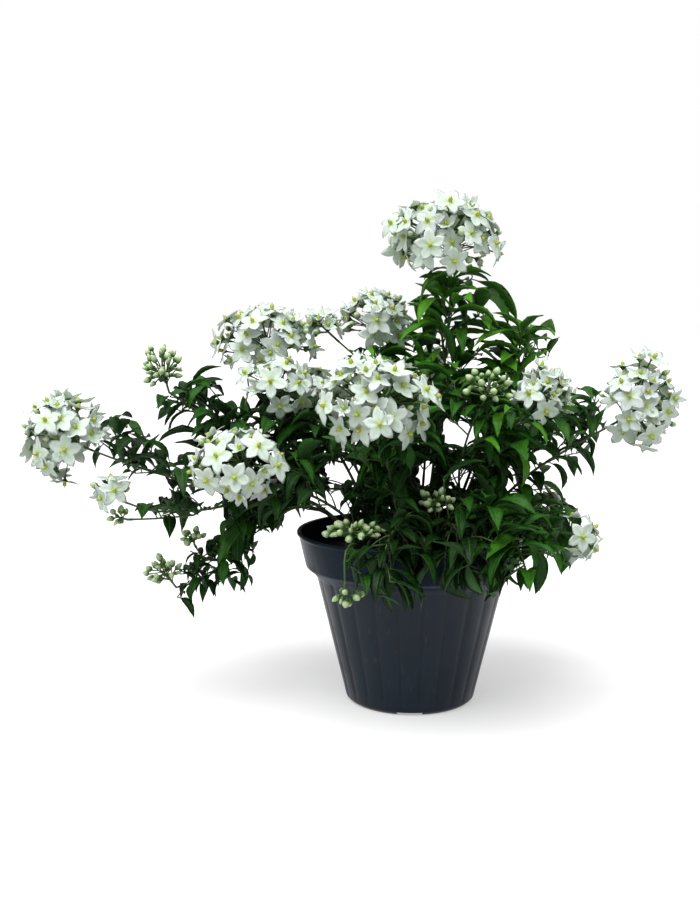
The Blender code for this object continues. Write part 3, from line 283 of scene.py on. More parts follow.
# Each flower head or bud spray: the stem and limb whose end it follows, its dome's centre and
# half sizes in mm, the way it faces, and how many flowers and buds it holds.
HEADS = {
    "head_crown": ("crown", 0, (28, 8, 385), (42, 38, 28), (0.0, -0.25, 1.0), 14, 2),
    "head_far_left": ("far_left", 0, (-285, -21, 220), (28, 30, 33), (-0.6, -0.4, 0.6), 12, 0),
    "head_left_low": ("far_left", 1, (-242, -42, 181), (13, 12, 10), (-0.3, -0.4, 0.8), 3, 3),
    "head_upper_left": ("upper_left", 0, (-122, 22, 301), (39, 31, 25), (-0.1, -0.4, 0.9), 12, 2),
    "head_upper_left_front": ("upper_left", 2, (-109, -12, 265), (26, 22, 20), (0.1, -0.8, 0.5), 7, 0),
    "head_mid_left": ("mid_left", 0, (-131, -80, 208), (37, 28, 25), (-0.2, -0.7, 0.6), 12, 0),
    "head_centre": ("centre", 0, (-25, -106, 257), (40, 28, 29), (0.0, -0.8, 0.6), 14, 0),
    "head_upper_mid": ("crown", 1, (-32, 41, 318), (29, 25, 20), (0.1, -0.3, 0.9), 8, 2),
    "head_half_open": ("crown", 2, (-76, 31, 311), (13, 12, 11), (-0.3, -0.3, 0.9), 4, 3),
    "head_right_inner": ("right_inner", 0, (102, -41, 260), (17, 15, 20), (0.2, -0.4, 0.8), 6, 3),
    "head_far_right": ("far_right", 0, (184, -11, 249), (30, 30, 32), (0.5, -0.5, 0.6), 13, 0),
    "head_lower_right": ("lower_right", 0, (131, -54, 150), (15, 14, 15), (0.8, -0.5, 0.2), 5, 1),
    "head_right_single": ("lower_right", 1, (112, -21, 175), (3, 3, 3), (0.5, -0.4, 0.7), 1, 1),
    "head_back_left": ("back_left", 0, (-92, 114, 243), (32, 29, 26), (-0.4, 0.6, 0.7), 10, 0),
    "head_back": ("back", 0, (18, 133, 254), (33, 28, 27), (0.0, 0.7, 0.7), 11, 0),
    "head_back_low": ("back", 1, (-27, 147, 169), (21, 18, 16), (-0.2, 0.8, 0.5), 6, 2),
    "head_back_right": ("back_right", 0, (113, 112, 238), (32, 29, 26), (0.5, 0.6, 0.6), 10, 0),
    "bud_spray_upper_left": ("upper_left", 1, (-207, 1, 276), (15, 14, 18), (-0.2, -0.1, 1.0), 0, 12),
    "bud_spray_left_low": ("far_left", 2, (-236, -40, 158), (7, 6, 6), (-0.9, -0.1, 0.4), 0, 3),
    "bud_spray_left_drop": ("left_drop", 0, (-203, -28, 111), (13, 10, 12), (-0.5, -0.2, 0.8), 0, 7),
    "bud_spray_left_small": ("left_drop", 1, (-179, -20, 138), (8, 7, 7), (-0.1, -0.1, 1.0), 0, 5),
    "bud_spray_front_left": ("front_left", 0, (-44, -79, 155), (22, 9, 7), (0.0, -0.3, 1.0), 0, 13),
    "bud_spray_pot_front": ("front_left", 1, (-46, -108, 112), (10, 7, 7), (0.1, -0.3, -1.0), 0, 7),
    "bud_spray_front": ("front_right", 1, (20, -61, 176), (13, 10, 8), (0.0, -0.2, 1.0), 0, 8),
    "bud_spray_right": ("right_inner", 1, (59, -60, 266), (18, 13, 13), (0.1, -0.3, 1.0), 0, 13),
}

# Where the plant is seen from in the photograph. Its leafy masses and the gaps that show between
# them are ellipses seen from there, given where they cross the plane y = 0: centre (x, z) and half
# sizes in mm. A mass also says how large its leaves are, as a share.
VIEWPOINT = Vector((0.0, -1.0, 0.3276))
LEAFY_MASSES = {
    "low_spray": (-164, 98, 32, 36, 0.5),
    "above_low_spray": (-144, 128, 15, 26, 0.6),
    "far_left": (-233, 212, 29, 32, 0.7),
    "left": (-182, 209, 40, 60, 0.85),
    "left_top": (-156, 252, 27, 28, 1.0),
    "mid_left": (-116, 199, 58, 61, 1.0),
    "crown": (32, 333, 54, 26, 1.0),
    "below_crown": (56, 304, 66, 36, 1.0),
    "upper_mid": (-14, 279, 46, 19, 1.0),
    "middle": (32, 199, 95, 92, 1.0),
    "right": (129, 237, 31, 42, 1.0),
    "lower_right": (106, 134, 35, 47, 1.0),
    "front": (3, 115, 60, 45, 1.0),
    "front_right": (61, 117, 25, 38, 1.0),
}
GAPS = [
    (-199, 205, 9, 9), (-223, 176, 18, 9), (-165, 168, 8, 6), (-150, 259, 7, 7), (-100, 150, 7, 8),
    (-77, 166, 12, 5), (-67, 185, 6, 10), (-52, 190, 12, 9), (-54, 163, 7, 4), (12, 188, 10, 12),
    (44, 183, 9, 12), (39, 223, 16, 11), (95, 226, 5, 9), (83, 180, 5, 16), (94, 116, 5, 5),
]

# Growth that only the looks have
SHOOT_STEP = 11.0 * MM
SHOOT_FIRST = 34.0 * MM
SHOOT_TRIES = 9
SHOOT_LENGTH = (18.0 * MM, 46.0 * MM)
MORE_LEAF_STEP = 3.8 * MM
MORE_LEAF_FIRST = 30.0 * MM
MORE_LEAF_TRIES = 7
MORE_LEAF_LENGTH = (30.0 * MM, 50.0 * MM)
MORE_LEAF_STATIONS = ((0.30, 0.93), (0.55, 0.93), (0.80, 0.52))
MORE_LEAF_DROOP = (0.6, 2.0)
MORE_LEAF_WIDTH_SHARE = (0.25, 0.35)
# The least and the most that added leaves turn upward where they leave their branch
LEAF_LIFT = {
    "upper_left": (0.6, 1.2), "far_left": (0.3, 1.2), "left_drop": (0.3, 1.0), "front": (0.0, 0.5),
    "front_left": (0.0, 0.5), "front_right": (0.0, 0.5), "others": (0.0, 1.2),
}
# How much longer a stem's added leaves are, as a share
LONG_LEAVES = {"crown": 1.22, "upper_right": 1.15, "others": 1.0}
# One flower or bud for this much of a head's dome, in square metres
FLOWER_PATCH, BUD_PATCH = 150.0e-6, 120.0e-6
MORE_FLOWER_TRIES = 22
# Where the noise over a dome is below this, no flower is added, so that heads are uneven
BARE_BELOW = {"head_far_right": -0.4, "head_centre": -0.25, "others": -0.12}
# How likely an added flower is only half open
HALF_OPEN_CHANCE = {
    "head_half_open": 0.9, "head_right_inner": 0.85, "head_upper_mid": 0.35, "others": 0.08,
}
# How many flowers and buds are added, as a share of what a head's size asks for
HEAD_FULLNESS = {
    "head_mid_left": 0.3, "head_upper_left": 0.8, "bud_spray_right": 0.35,
    "bud_spray_pot_front": 0.3, "others": 1.0,
}
# A half open flower's width, as a share, and how far forward its petals reach, in mm
HALF_OPEN_WIDTH = 0.62
HALF_OPEN_LIFT = (5.0, 8.0)
MORE_DOME_DEPTHS = (0.62, 1.1)
# Where the added stalks leave a head's axis, as a share of its length
STALK_FEET = (0.4, 1.0)
# How far flowers of a head lie apart, as shares of both their radii: side by side, or less where
# one also stands over the other
APART_BESIDE, APART_OVER, APART_RISE = 0.72, 0.36, 0.085
# Added leaves keep clear of what is seen this near a head's middle
LEAST_HEAD_REACH = 13.0 * MM
# Only this share of an added leaf's width or flower's radius has to be clear of the rest
FREE_LEAF_SHARE = 0.6
FREE_FLOWER_SHARE = 0.7
BOX_MARGIN = 3.0 * MM
# Where the added growth may also lie, and where it may not, written as the leafy masses are
MORE_MASSES = {
    "below_far_left": (-244, 199, 33, 9, 0.8),
    "left_foot": (-203, 155, 37, 9, 0.8),
    "beside_rim": (-112, 144, 20, 6, 0.8),
    "crown_left_tip": (-5, 342, 22, 8, 1.0),
    "crown_right_tip": (79, 334, 8, 13, 1.0),
    "low_spray_tips": (-176, 78, 23, 16, 0.6),
    "right_tip": (142, 196, 11, 15, 1.0),
    "left_hanging_leaf": (-200, 146, 10, 20, 0.9),
    "low_spray_end": (-163, 73, 8, 14, 0.7),
}
MORE_GAPS = [(110, 184, 15, 26), (115, 104, 9, 17)]
# The grid cells in which placed pieces are looked up
CELL = 25.0 * MM

# What pulls a twig as it starts: its carrier's way, its own side, up and chance. The last number
# is how strongly its outer half sags.
TWIG_PULLS = (0.55, 0.75, 0.3, 0.12, 0.25)
SHOOT_PULLS = (0.5, 0.8, 0.25, 0.15, 0.3)
# What a flower or bud faces: along its stalk, out from the dome's middle, the dome's way, up and
# chance. Where it turns further from its stalk than the cosine below, it is turned halfway back.
ITEM_PULLS = (0.6, 0.6, 0.15, 0.1, 0.14)
MORE_ITEM_PULLS = (0.3, 0.7, 0.25, 0.0, 0.25)
LEAST_STALK_FIT = 0.3
# Ranges of the added flowers' and buds' sizes, as shares
MORE_SIZES = {"flower": (0.84, 1.02), "bud": (0.55, 0.9), "length": (0.7, 1.1)}

# Where each row of random draws starts
SEEDS = {
    "soil": 11, "crumbs": 77, "foliage": 100, "blooms": 200, "heads": 1000, "twigs": 2000,
    "leaf_sites": 3000, "leaves": 5000, "shoots": 6000, "more_leaf_sites": 7000,
    "more_leaves": 8000, "more_flowers": 9000,
}

# Fine stems: the steps and sides of limbs and of twigs, their thickness as a share of the solids',
# and how much they swell at every third point
LIMB_STEP, LIMB_SIDES = 8 * MM, 7
TWIG_STEP, TWIG_SIDES = 6 * MM, 5
STEM_FULLNESS, NODE_SWELL = 0.86, 1.12

# Fine leaves: rings along the length, and each ring's points as place across and share of underside
LEAF_RINGS = (0.0, 0.06, 0.115, 0.16, 0.22, 0.30, 0.40, 0.52, 0.64, 0.76, 0.87, 0.95)
LEAF_SECTION = ((1, 0), (0.5, 0), (0, 0), (-0.5, 0), (-1, 0), (-0.5, 1), (0, 1), (0.5, 1))
BLADE_FROM = 0.12
BLADE_SHAPE = 1.05
FINE_PETIOLE = 0.5 * MM
FINE_THICKNESS = 0.4 * MM
LEAF_WAVE = 0.045
# Leaves are freshest at the growing ends. Their colour is also painted darker low in the plant and lighter
# at its top: painted shade under the canopy, painted light on top
SHADED_BELOW, LIT_ABOVE = 120.0 * MM, 340.0 * MM
TONE_BY_YOUTH, PAINTED_LIGHT_BY_HEIGHT = 0.3, 0.48
# How much lighter or darker than the others a stem's leaves are painted: painted light where the plant is
# lit, painted shade where it lies in shade
STEM_LIGHT_AND_SHADE = {
    "crown": 0.18, "upper_right": 0.16, "right_drape": 0.12, "lower_right": 0.34, "front": -0.18,
    "front_right": -0.16, "front_left": -0.16, "far_left": -0.18, "mid_left": -0.18,
    "upper_left": -0.16, "others": 0.0,
}

# Fine flowers: the points round each petal, how far out petals are joined, how much their tips
# stand out, and where their rings lie between the middle and the tips
PETAL_STEPS = 8
PETALS_JOINED = 0.54
TIP_SHARE = 0.04
PETAL_RINGS = (0.17, 0.36, 0.58, 0.80, 1.0)
# How much single petals differ, in mm: tips up or down, one edge up, curled down or up, wrinkled
PETAL_TILT, PETAL_TWIST, PETAL_CURLS, PETAL_WRINKLE = 1.6, 1.3, (-2.2, 3.0), 0.35
PETAL_LENGTHS = (0.9, 1.06)
PETAL_THICKNESS = 0.35 * MM
# Rings of the stamens, as height and radius in mm, and of the calyx, which also has lobes
STAMEN_RINGS = ((0.0, 1.2), (0.8, 1.5), (1.9, 1.6), (3.0, 1.4), (3.7, 0.9))
STAMEN_SIDES, STAMEN_RIBS = 15, 0.13
CALYX_RINGS = ((-3.4, 0.8, 0.0), (-2.2, 1.7, 0.05), (-1.0, 2.4, 0.2), (-0.55, 2.9, 0.3))
# Rings of a bud and of its cup, as shares of the bud's length, the cup's each with its pleats' depth
BUD_SHARES = (0.08, 0.22, 0.38, 0.55, 0.72, 0.88)
CUP_SHARES = ((0.02, 0.02), (0.1, 0.02), (0.22, 0.02), (0.33, 0.1))
BUD_SIDES = 10

# Fine pot and soil
PROFILE_ROUNDING = 1.2 * MM
POT_FINE_SEGMENTS = 10 * FLUTES
# A groove between flutes is partly a wide soft one and partly a narrow sharp one
SOFT_GROOVE, SHARP_GROOVE, SHARP_WIDTH = 0.3, 0.7, 0.35
# Edges that bend more than this are drawn sharp
POT_SHARP, SOIL_SHARP = math.radians(32), math.radians(50)
SOIL_FINE_SEGMENTS, SOIL_FINE_RINGS = 120, 40
# Waves of the soil's top: how many a metre, and their height in mm
SOIL_WAVES = ((60, 1.2), (260, 1.1), (700, 0.5))
# Crumbs of peat and bark, and their sizes in mm
CRUMBS = 420
CRUMB_SIZE = (0.7, 2.4)

# Light: the sky's strength below and above, and the key light's strength, width and way
SKY_LOW, SKY_HIGH, KEY_STRENGTH = 0.08, 1.0, 3.3
KEY_WIDTH = math.radians(60)
KEY_TURN = (math.radians(22), math.radians(-12), 0.0)
# Camera: focal length in mm, and how many degrees it looks down and to the left
FOCAL_LENGTH = 48.7
LOOK_DOWN, LOOK_LEFT = 6.7, 2.9
FLOOR_REACH = 12.0
SQUARE = ((-1, -1), (1, -1), (1, 1), (-1, 1))
# The place of points whose look is the same all over
PLAIN = (0.0, 0.0, 0.0)
# How far light spreads inside petals and buds
THIN_GLOW = {"Subsurface_Scale": 0.002, "Subsurface_Radius": (1.0, 1.0, 0.8)}


def draws(name, number=0):
    """A row of random draws, always the same for a name and a number."""
    return random.Random(SEEDS[name] + number)


def pick(table, name):
    """The table's value for a name, or the one for all others."""
    return table.get(name, table["others"])


# Vectors and curves


def mm_vector(point):
    return Vector(point) * MM


def middle_of(points):
    return sum(points, Vector()) / len(points)


def route_length(points):
    return sum((b - a).length for a, b in zip(points, points[1:]))


def point_at(points, distance):
    for a, b in zip(points, points[1:]):
        length = (b - a).length
        if distance <= length:
            return a.lerp(b, distance / length)
        distance -= length
    return points[-1].copy()


def smooth_route(points, step):
    """Points about one step apart on a smooth curve through the given ones."""
    fine = []
    ends = [2 * points[0] - points[1]] + list(points) + [2 * points[-1] - points[-2]]
    for a, b, c, d in zip(ends, ends[1:], ends[2:], ends[3:]):
        for k in range(ROUTE_PARTS):
            t = k / ROUTE_PARTS
            fine.append(0.5 * (2 * b + (c - a) * t + (2 * a - 5 * b + 4 * c - d) * t**2
                               + (3 * b - a - 3 * c + d) * t**3))
    fine.append(points[-1].copy())
    length = route_length(fine)
    count = max(2, round(length / step))
    return [point_at(fine, length * k / count) for k in range(count)] + [fine[-1]]


def cross_axes(direction):
    side = direction.orthogonal().normalized()
    return side, direction.cross(side)


def way_round(across, over, angle):
    """The way at an angle from one axis towards the other."""
    return math.cos(angle) * across + math.sin(angle) * over


def around(centre, across, over, radius, angle):
    return centre + radius * way_round(across, over, angle)


def on_circle(radius, angle, height):
    return Vector((radius * math.cos(angle), radius * math.sin(angle), height))


def ring(centre, tangent, start_way, radius, sides):
    """Points round a centre, the first one towards start_way, counter-clockwise about the tangent."""
    across = (start_way - tangent * start_way.dot(tangent)).normalized()
    over = tangent.cross(across)
    return [around(centre, across, over, radius, math.tau * k / sides) for k in range(sides)]


def sway(draw):
    return Vector([draw.gauss(0, 1) for _ in range(3)])


def way_out(tangent, turn, attempt, draw):
    """A way square to a tangent, at about a turn round it, and less nearly with each attempt."""
    angle = turn + draw.uniform(-TURN_JITTER, TURN_JITTER) * (1 + attempt)
    return way_round(*cross_axes(tangent), angle)


# Branches and what grows from them


def make_branch(stem, index, points, radii, sides, root=None):
    """A branch's rings of points. Its root is a free ring, or three points of what carries it."""
    if root is None:
        tangent = (points[1] - points[0]).normalized()
        rings = [ring(points[0], tangent, tangent.orthogonal(), radii[0], sides)]
        way = rings[0][0] - points[0]
    else:
        rings = [list(root)]
        way = root[0] - middle_of(root)
        if sides == STEM_SIDES:
            way = root[0] - root[2] + 0.5 * (root[0] - root[1])
    for i in range(1, len(points)):
        after = points[min(i + 1, len(points) - 1)]
        tangent = (after - points[i - 1]).normalized()
        rings.append(ring(points[i], tangent, way, radii[i], sides))
        way = rings[-1][0] - points[i]
    return {"stem": stem, "index": index, "points": points, "radii": radii, "rings": rings,
            "used": set(), "peak": None, "end_used": False}


def way_on(branch, i):
    """The way from a branch's point i to the next one."""
    return (branch["points"][i + 1] - branch["points"][i]).normalized()


def along(branch, distance):
    """The point and the way at a distance along a branch."""
    points = branch["points"]
    here = point_at(points, distance)
    return here, (point_at(points, distance + MM) - point_at(points, distance - MM)).normalized()


def socket(branch, i, k):
    """Three points of side k above ring i, or of the peak's side k, that something can grow from."""
    lower = branch["rings"][i]
    a, b = lower[k], lower[(k + 1) % len(lower)]
    if i == len(branch["rings"]) - 1:
        return a, b, branch["peak"]
    upper = branch["rings"][i + 1]
    c, d = upper[(k + 1) % len(upper)], upper[k]
    middle = (a + b) / 2
    rise = (c + d) / 2 - middle
    height = min(0.9 * (b - a).length, 0.45 * rise.length)
    return a, b, middle + rise.normalized() * height


def socket_normal(points):
    a, b, c = points
    return (b - a).cross(c - a).normalized()


def free_side(branch, i, out):
    """The side of ring i that faces most nearly out and that nothing grows from yet."""
    free = [k for k in range(len(branch["rings"][i])) if (i, k) not in branch["used"]]
    return max(free, key=lambda k: socket_normal(socket(branch, i, k)).dot(out), default=None)


def branch_faces(branch):
    """A branch's faces, closed at both ends. A branch of four sides may start at three points."""
    rings = branch["rings"]
    faces = []
    start = 0
    if len(rings[0]) != len(rings[1]):
        a, b, m = rings[0]
        q = rings[1]
        faces += [[a, b, q[1], q[0]], [b, m, q[2], q[1]], [q[2], m, q[3]], [m, a, q[0], q[3]]]
        start = 1
    for lower, upper in zip(rings[start:], rings[start + 1:]):
        for k in range(len(lower)):
            after = (k + 1) % len(lower)
            faces.append([lower[k], lower[after], upper[after], upper[k]])
    faces.append(list(reversed(rings[0])))
    if branch["peak"]:
        faces += [list(socket(branch, len(rings) - 1, k)) for k in range(len(rings[-1]))]
    else:
        faces.append(list(rings[-1]))
    return faces


def leaf_spine(leaf, share):
    """The point, tangent, side and upper normal at a share of the leaf's length."""
    heading, rise, droop = leaf["heading"], leaf["rise"], leaf["droop"]

    def tangent_at(place):
        pitch = rise - droop * place**0.8
        level = math.cos(pitch)
        return Vector((level * math.cos(heading), level * math.sin(heading), math.sin(pitch)))

    point = leaf["start"].copy()
    for k in range(SPINE_STEPS):
        middle = (k + 0.5) / SPINE_STEPS * share
        point = point + tangent_at(middle) * (leaf["length"] * share / SPINE_STEPS)
    tangent = tangent_at(share)
    side = Vector((-math.sin(heading), math.cos(heading), 0.0))
    normal = tangent.cross(side)
    roll = leaf["roll"] * share
    return (point, tangent, side * math.cos(roll) + normal * math.sin(roll),
            normal * math.cos(roll) - side * math.sin(roll))


def leaf_stations(leaf, grow):
    """Left, top, right and under points of the blade at each station, and its tip."""
    rows = []
    for share, width in leaf["stations"]:
        point, _, side, normal = leaf_spine(leaf, share)
        half = 0.5 * leaf["width"] * width
        fold = math.tan(leaf["fold"]) * half
        rows.append((
            point + side * (half + grow) + normal * fold,
            point + normal * grow,
            point - side * (half + grow) + normal * fold,
            point - normal * (LEAF_THICKNESS + grow),
        ))
    end, tangent, _, _ = leaf_spine(leaf, 1.0)
    return rows, end + tangent * grow


def leaf_faces(leaf, root=None, grow=0.0):
    """A leaf folded up along its midrib and arched down. Its stalk springs from three points."""
    rows, tip = leaf_stations(leaf, grow)
    right, left, top = root or leaf["root"]
    faces = []
    for lower, upper in zip([(left, top, right, None)] + rows, rows):
        left, top, right, under = lower
        left1, top1, right1, under1 = upper
        faces += [[left, top, left1], [top, top1, left1], [top, right, right1], [top, right1, top1]]
        if under is None:
            faces += [[right, left, under1], [left, left1, under1], [right, under1, right1]]
        else:
            faces += [[under, left, left1], [under, left1, under1], [right, under, right1],
                      [under, under1, right1]]
    left, top, right, under = rows[-1]
    return faces + [[left, top, tip], [top, right, tip], [under, left, tip], [right, under, tip]]


def stalk_ring(item, middle, radius, sides):
    """A ring across an item's stalk, lined up with the three points that it springs from."""
    root = item["root"]
    return ring(middle, item["facing"], root[0] - middle_of(root), radius, sides)


def stalk_faces(root, upper):
    """The stalk's three sides, from the points that it springs from to a ring of three."""
    return [[root[k], root[(k + 1) % 3], upper[(k + 1) % 3], upper[k]] for k in range(3)]


def star_faces(rim, three):
    """One side of a flower, from its outline of ten points to three points in its middle."""
    faces = []
    for k in range(10):
        here, following = int((k + 0.5) * 0.3), int((k + 1.5) * 0.3) % 3
        faces.append([rim[k], rim[(k + 1) % 10], three[here]])
        if following != here:
            faces.append([rim[(k + 1) % 10], three[following], three[here]])
    return faces


def first_petal_turn(way, across, over):
    """The angle of a flower's first petal, which lies three quarters of a petal before a way."""
    return math.atan2(way.dot(over), way.dot(across)) - 0.75 * FIFTH


def flower_faces(item, grow):
    """A star of five pointed petals with a cone of stamens, on its stalk."""
    centre, facing = item["centre"], item["facing"]
    across, over = cross_axes(facing)
    calyx = stalk_ring(item, centre - facing * PETAL_UNDER, CALYX_RADIUS + grow, 3)
    crown = stalk_ring(item, centre + facing * (PETAL_TOP + grow), STAMEN_RADIUS, 3)
    turn = first_petal_turn(calyx[0] - (centre - facing * PETAL_UNDER), across, over)
    radius, lift = item["radius"] + grow, facing * item["lift"]
    rim = []
    for k in range(5):
        rim.append(around(centre + lift, across, over, radius, turn + FIFTH * k))
        rim.append(around(centre + 0.3 * lift, across, over, radius * SINUS_SHARE,
                          turn + FIFTH * (k + 0.5)))
    apex = centre + facing * (STAMEN_LENGTH + grow)
    faces = stalk_faces(item["root"], calyx) + star_faces(rim, crown)
    faces += [list(reversed(face)) for face in star_faces(rim, calyx)]
    return faces + [[crown[k], crown[(k + 1) % 3], apex] for k in range(3)]


def bud_faces(item, grow):
    """A closed bud, a little longer than wide, on its stalk."""
    centre, facing, length = item["centre"], item["facing"], item["length"]
    neck = stalk_ring(item, centre - facing * 0.45 * length, PEDICEL_RADIUS + grow, 3)
    belly = stalk_ring(item, centre + facing * 0.05 * length, item["radius"] + grow, 6)
    tip = centre + facing * (0.5 * length + grow)
    faces = stalk_faces(item["root"], neck)
    for k in range(3):
        here, between, following = belly[2 * k], belly[2 * k + 1], belly[(2 * k + 2) % 6]
        after = neck[(k + 1) % 3]
        faces += [[neck[k], after, between], [neck[k], between, here], [after, following, between],
                  [here, between, tip], [between, following, tip]]
    return faces


def item_faces(item, grow=0.0):
    return flower_faces(item, grow) if item["kind"] == "flower" else bud_faces(item, grow)


# What has been placed


def boxed(faces):
    """Points and faces by number, with equal points made one, and the box that they lie in."""
    numbers = {}
    verts = []
    rows = []
    for face in faces:
        row = []
        for point in face:
            key = tuple(point)
            if key not in numbers:
                numbers[key] = len(verts)
                verts.append(point)
            row.append(numbers[key])
        rows.append(row)
    low = [min(v[i] for v in verts) for i in range(3)]
    high = [max(v[i] for v in verts) for i in range(3)]
    return verts, rows, low, high


def cells_between(low, high):
    """The grid cells that a box reaches into."""
    spans = [range(math.floor(low[i] / CELL), math.floor(high[i] / CELL) + 1) for i in range(3)]
    return [(x, y, z) for x in spans[0] for y in spans[1] for z in spans[2]]


class Placed:
    """The solids placed so far, found by grid cell, each with its box and the branch it belongs to."""

    def __init__(self):
        self.entries = []
        self.cells = {}

    def add(self, faces, branch=None):
        verts, rows, low, high = boxed(faces)
        for cell in cells_between(low, high):
            self.cells.setdefault(cell, []).append(len(self.entries))
        self.entries.append((low, high, BVHTree.FromPolygons(verts, rows), branch))

    def crosses_none(self, faces, apart_from=None):
        """Whether faces cross nothing but, at most, what the given branch carries."""
        verts, rows, low, high = boxed(faces)
        near = {number for cell in cells_between(low, high) for number in self.cells.get(cell, ())}
        tree = None
        for number in near:
            other_low, other_high, other, branch = self.entries[number]
            if branch is not None and branch is apart_from:
                continue
            if any(low[i] > other_high[i] or high[i] < other_low[i] for i in range(3)):
                continue
            tree = tree or BVHTree.FromPolygons(verts, rows)
            if tree.overlap(other):
                return False
        return True

    def is_clear(self, probe, whole, branch):
        """Whether a probe crosses nothing, and the whole piece nothing but what its branch carries."""
        return self.crosses_none(probe) and self.crosses_none(whole, branch)


# The plan of the plant


def plan_limbs():
    """Every stem's limbs, thinner towards the tips."""
    limbs = []
    for name, (hole, routes) in STEMS.items():
        own = []
        for index, route in enumerate(routes):
            given = [mm_vector(point) for point in route]
            if index == 0:
                foot = Vector((hole[0] * MM, hole[1] * MM, SOIL_TOP - HOLE_DEPTH))
                points = [foot] + smooth_route([foot + UP * (HOLE_DEPTH + STEM_NECK)] + given, STEM_STEP)
                thick, root = STEM_RADIUS, None
            else:
                carrier, i = min(
                    ((limb, i) for limb in own for i in range(2, len(limb["points"]) - 1)),
                    key=lambda pair: (pair[0]["points"][pair[1]] - given[0]).length,
                )
                k = free_side(carrier, i, (given[1] - given[0]).normalized())
                root = socket(carrier, i, k)
                carrier["used"].add((i, k))
                start = middle_of(root)
                bend = start + socket_normal(root) * LIMB_BEND + way_on(carrier, i) * LIMB_BEND
                points = [start] + smooth_route([bend] + given[1:], STEM_STEP)
                thick = carrier["radii"][i] * LIMB_SHARE
            count = len(points) - 1
            radii = [thick + (TIP_RADIUS - thick) * k / count for k in range(count + 1)]
            own.append(make_branch(name, index, points, radii, STEM_SIDES, root))
        limbs += own
    return limbs


def dome_ray(head, polar, spin):
    """The way from a head's middle to a place on its dome, by its angles from and about its way."""
    dome = head["dome"]
    return math.cos(polar) * dome + math.sin(polar) * way_round(*cross_axes(dome), spin)


def dome_place(head, ray, depth):
    return head["centre"] + Vector([ray[i] * head["half"][i] for i in range(3)]) * depth


def new_item(kind, place, root, stalk, ray, dome, pulls, draw):
    """A flower or bud, without its size, on a stalk that leads to it from its root."""
    by_stalk, outward, by_dome, upward, loose = pulls
    facing = by_stalk * stalk + outward * ray + by_dome * dome + upward * UP + loose * sway(draw)
    facing = facing.normalized()
    if facing.dot(stalk) < LEAST_STALK_FIT:
        facing = (facing + stalk).normalized()
    return {"kind": kind, "centre": place, "facing": facing, "root": root, "stalk": stalk}


def size_item(item, sizes, draw):
    if item["kind"] == "flower":
        item["radius"] = FLOWER_RADIUS * draw.uniform(*sizes["flower"])
        item["lift"] = draw.uniform(*PETAL_LIFT)
    else:
        item["radius"] = BUD_RADIUS * draw.uniform(*sizes["bud"])
        item["length"] = BUD_LENGTH * draw.uniform(*sizes["length"])


def best_side(axis, place):
    """How squarely the axis's best free side faces a place, with that side and its three points."""
    found = []
    for i in range(1, len(axis["rings"])):
        for k in range(len(axis["rings"][i])):
            if (i, k) not in axis["used"]:
                root = socket(axis, i, k)
                fit = (place - middle_of(root)).normalized().dot(socket_normal(root))
                found.append((fit, (i, k), root))
    return max(found, key=lambda side: side[0], default=(-1.0, None, None))


def head_item(kind, spot, head, draw, loose):
    """A flower or bud at about a spot on the dome, on a stalk from the axis's best free side."""
    polar = spot[0] + draw.uniform(-DOME_JITTER, DOME_JITTER) * loose
    spin = spot[1] + draw.uniform(-SPIN_JITTER, SPIN_JITTER) * loose
    ray = dome_ray(head, polar, spin)
    place = dome_place(head, ray, draw.uniform(*DOME_DEPTHS))
    fit, side, root = best_side(head["axis"], place)
    if fit < LEAST_SOCKET_FIT:
        return None
    stalk = (place - middle_of(root)).normalized()
    item = new_item(kind, place, root, stalk, ray, head["dome"], ITEM_PULLS, draw)
    item["side"] = side
    size_item(item, SIZES, draw)
    if kind == "flower":
        item["radius"] *= 1 - 0.02 * loose
    return item


def item_probe(item):
    """The item's faces a little larger, without the foot of its stalk."""
    foot = middle_of(item["root"]) + item["stalk"] * STALK_REACH
    root = ring(foot, item["stalk"], item["root"][0] - middle_of(item["root"]),
                PEDICEL_RADIUS + LEAF_CLEARANCE, 3)
    return item_faces(dict(item, root=tuple(root)), LEAF_CLEARANCE)


def plan_heads(limbs, placed):
    """The axis, flowers and buds of every head and spray, each on the end of its limb."""
    ends = {(limb["stem"], limb["index"]): limb["points"] for limb in limbs}
    heads = []
    for number, (name, spec) in enumerate(HEADS.items()):
        stem, index, centre, half, dome, flowers, buds = spec
        draw = draws("heads", number)
        centre, half, dome = mm_vector(centre), mm_vector(half), Vector(dome).normalized()
        points = ends[stem, index]
        forward = (points[-1] - points[-2]).normalized()
        start = points[-1] + forward * SEAT_GAP
        reach = (centre - start).length
        count = max(2, math.ceil((flowers + buds) / AXIS_SIDES))
        stops = [start, start + forward * min(HEAD_STUB, 0.3 * reach)]
        stops += [stops[1].lerp(centre, k / count) for k in range(1, count + 1)]
        axis = make_branch(name, 0, stops, [HEAD_AXIS_RADIUS] * len(stops), AXIS_SIDES)
        axis["peak"] = stops[-1] + (stops[-1] - stops[-2]).normalized() * HEAD_AXIS_RADIUS
        head = {"name": name, "axis": axis, "items": [], "centre": centre, "half": half, "dome": dome}
        placed.add(branch_faces(axis), axis)
        total = flowers + buds
        for k in range(total):
            kind = "bud" if (k * buds) // total < ((k + 1) * buds) // total else "flower"
            share = (k + 0.5) / total
            spot = math.acos(1 - share * (1 - math.cos(DOME_COVER))), k * GOLDEN_ANGLE
            for attempt in range(HEAD_TRIES):
                item = head_item(kind, spot, head, draw, 1 + attempt / 3)
                if item and placed.is_clear(item_probe(item), item_faces(item), axis):
                    head["items"].append(item)
                    axis["used"].add(item["side"])
                    placed.add(item_faces(item), axis)
                    break
        heads.append(head)
    return heads


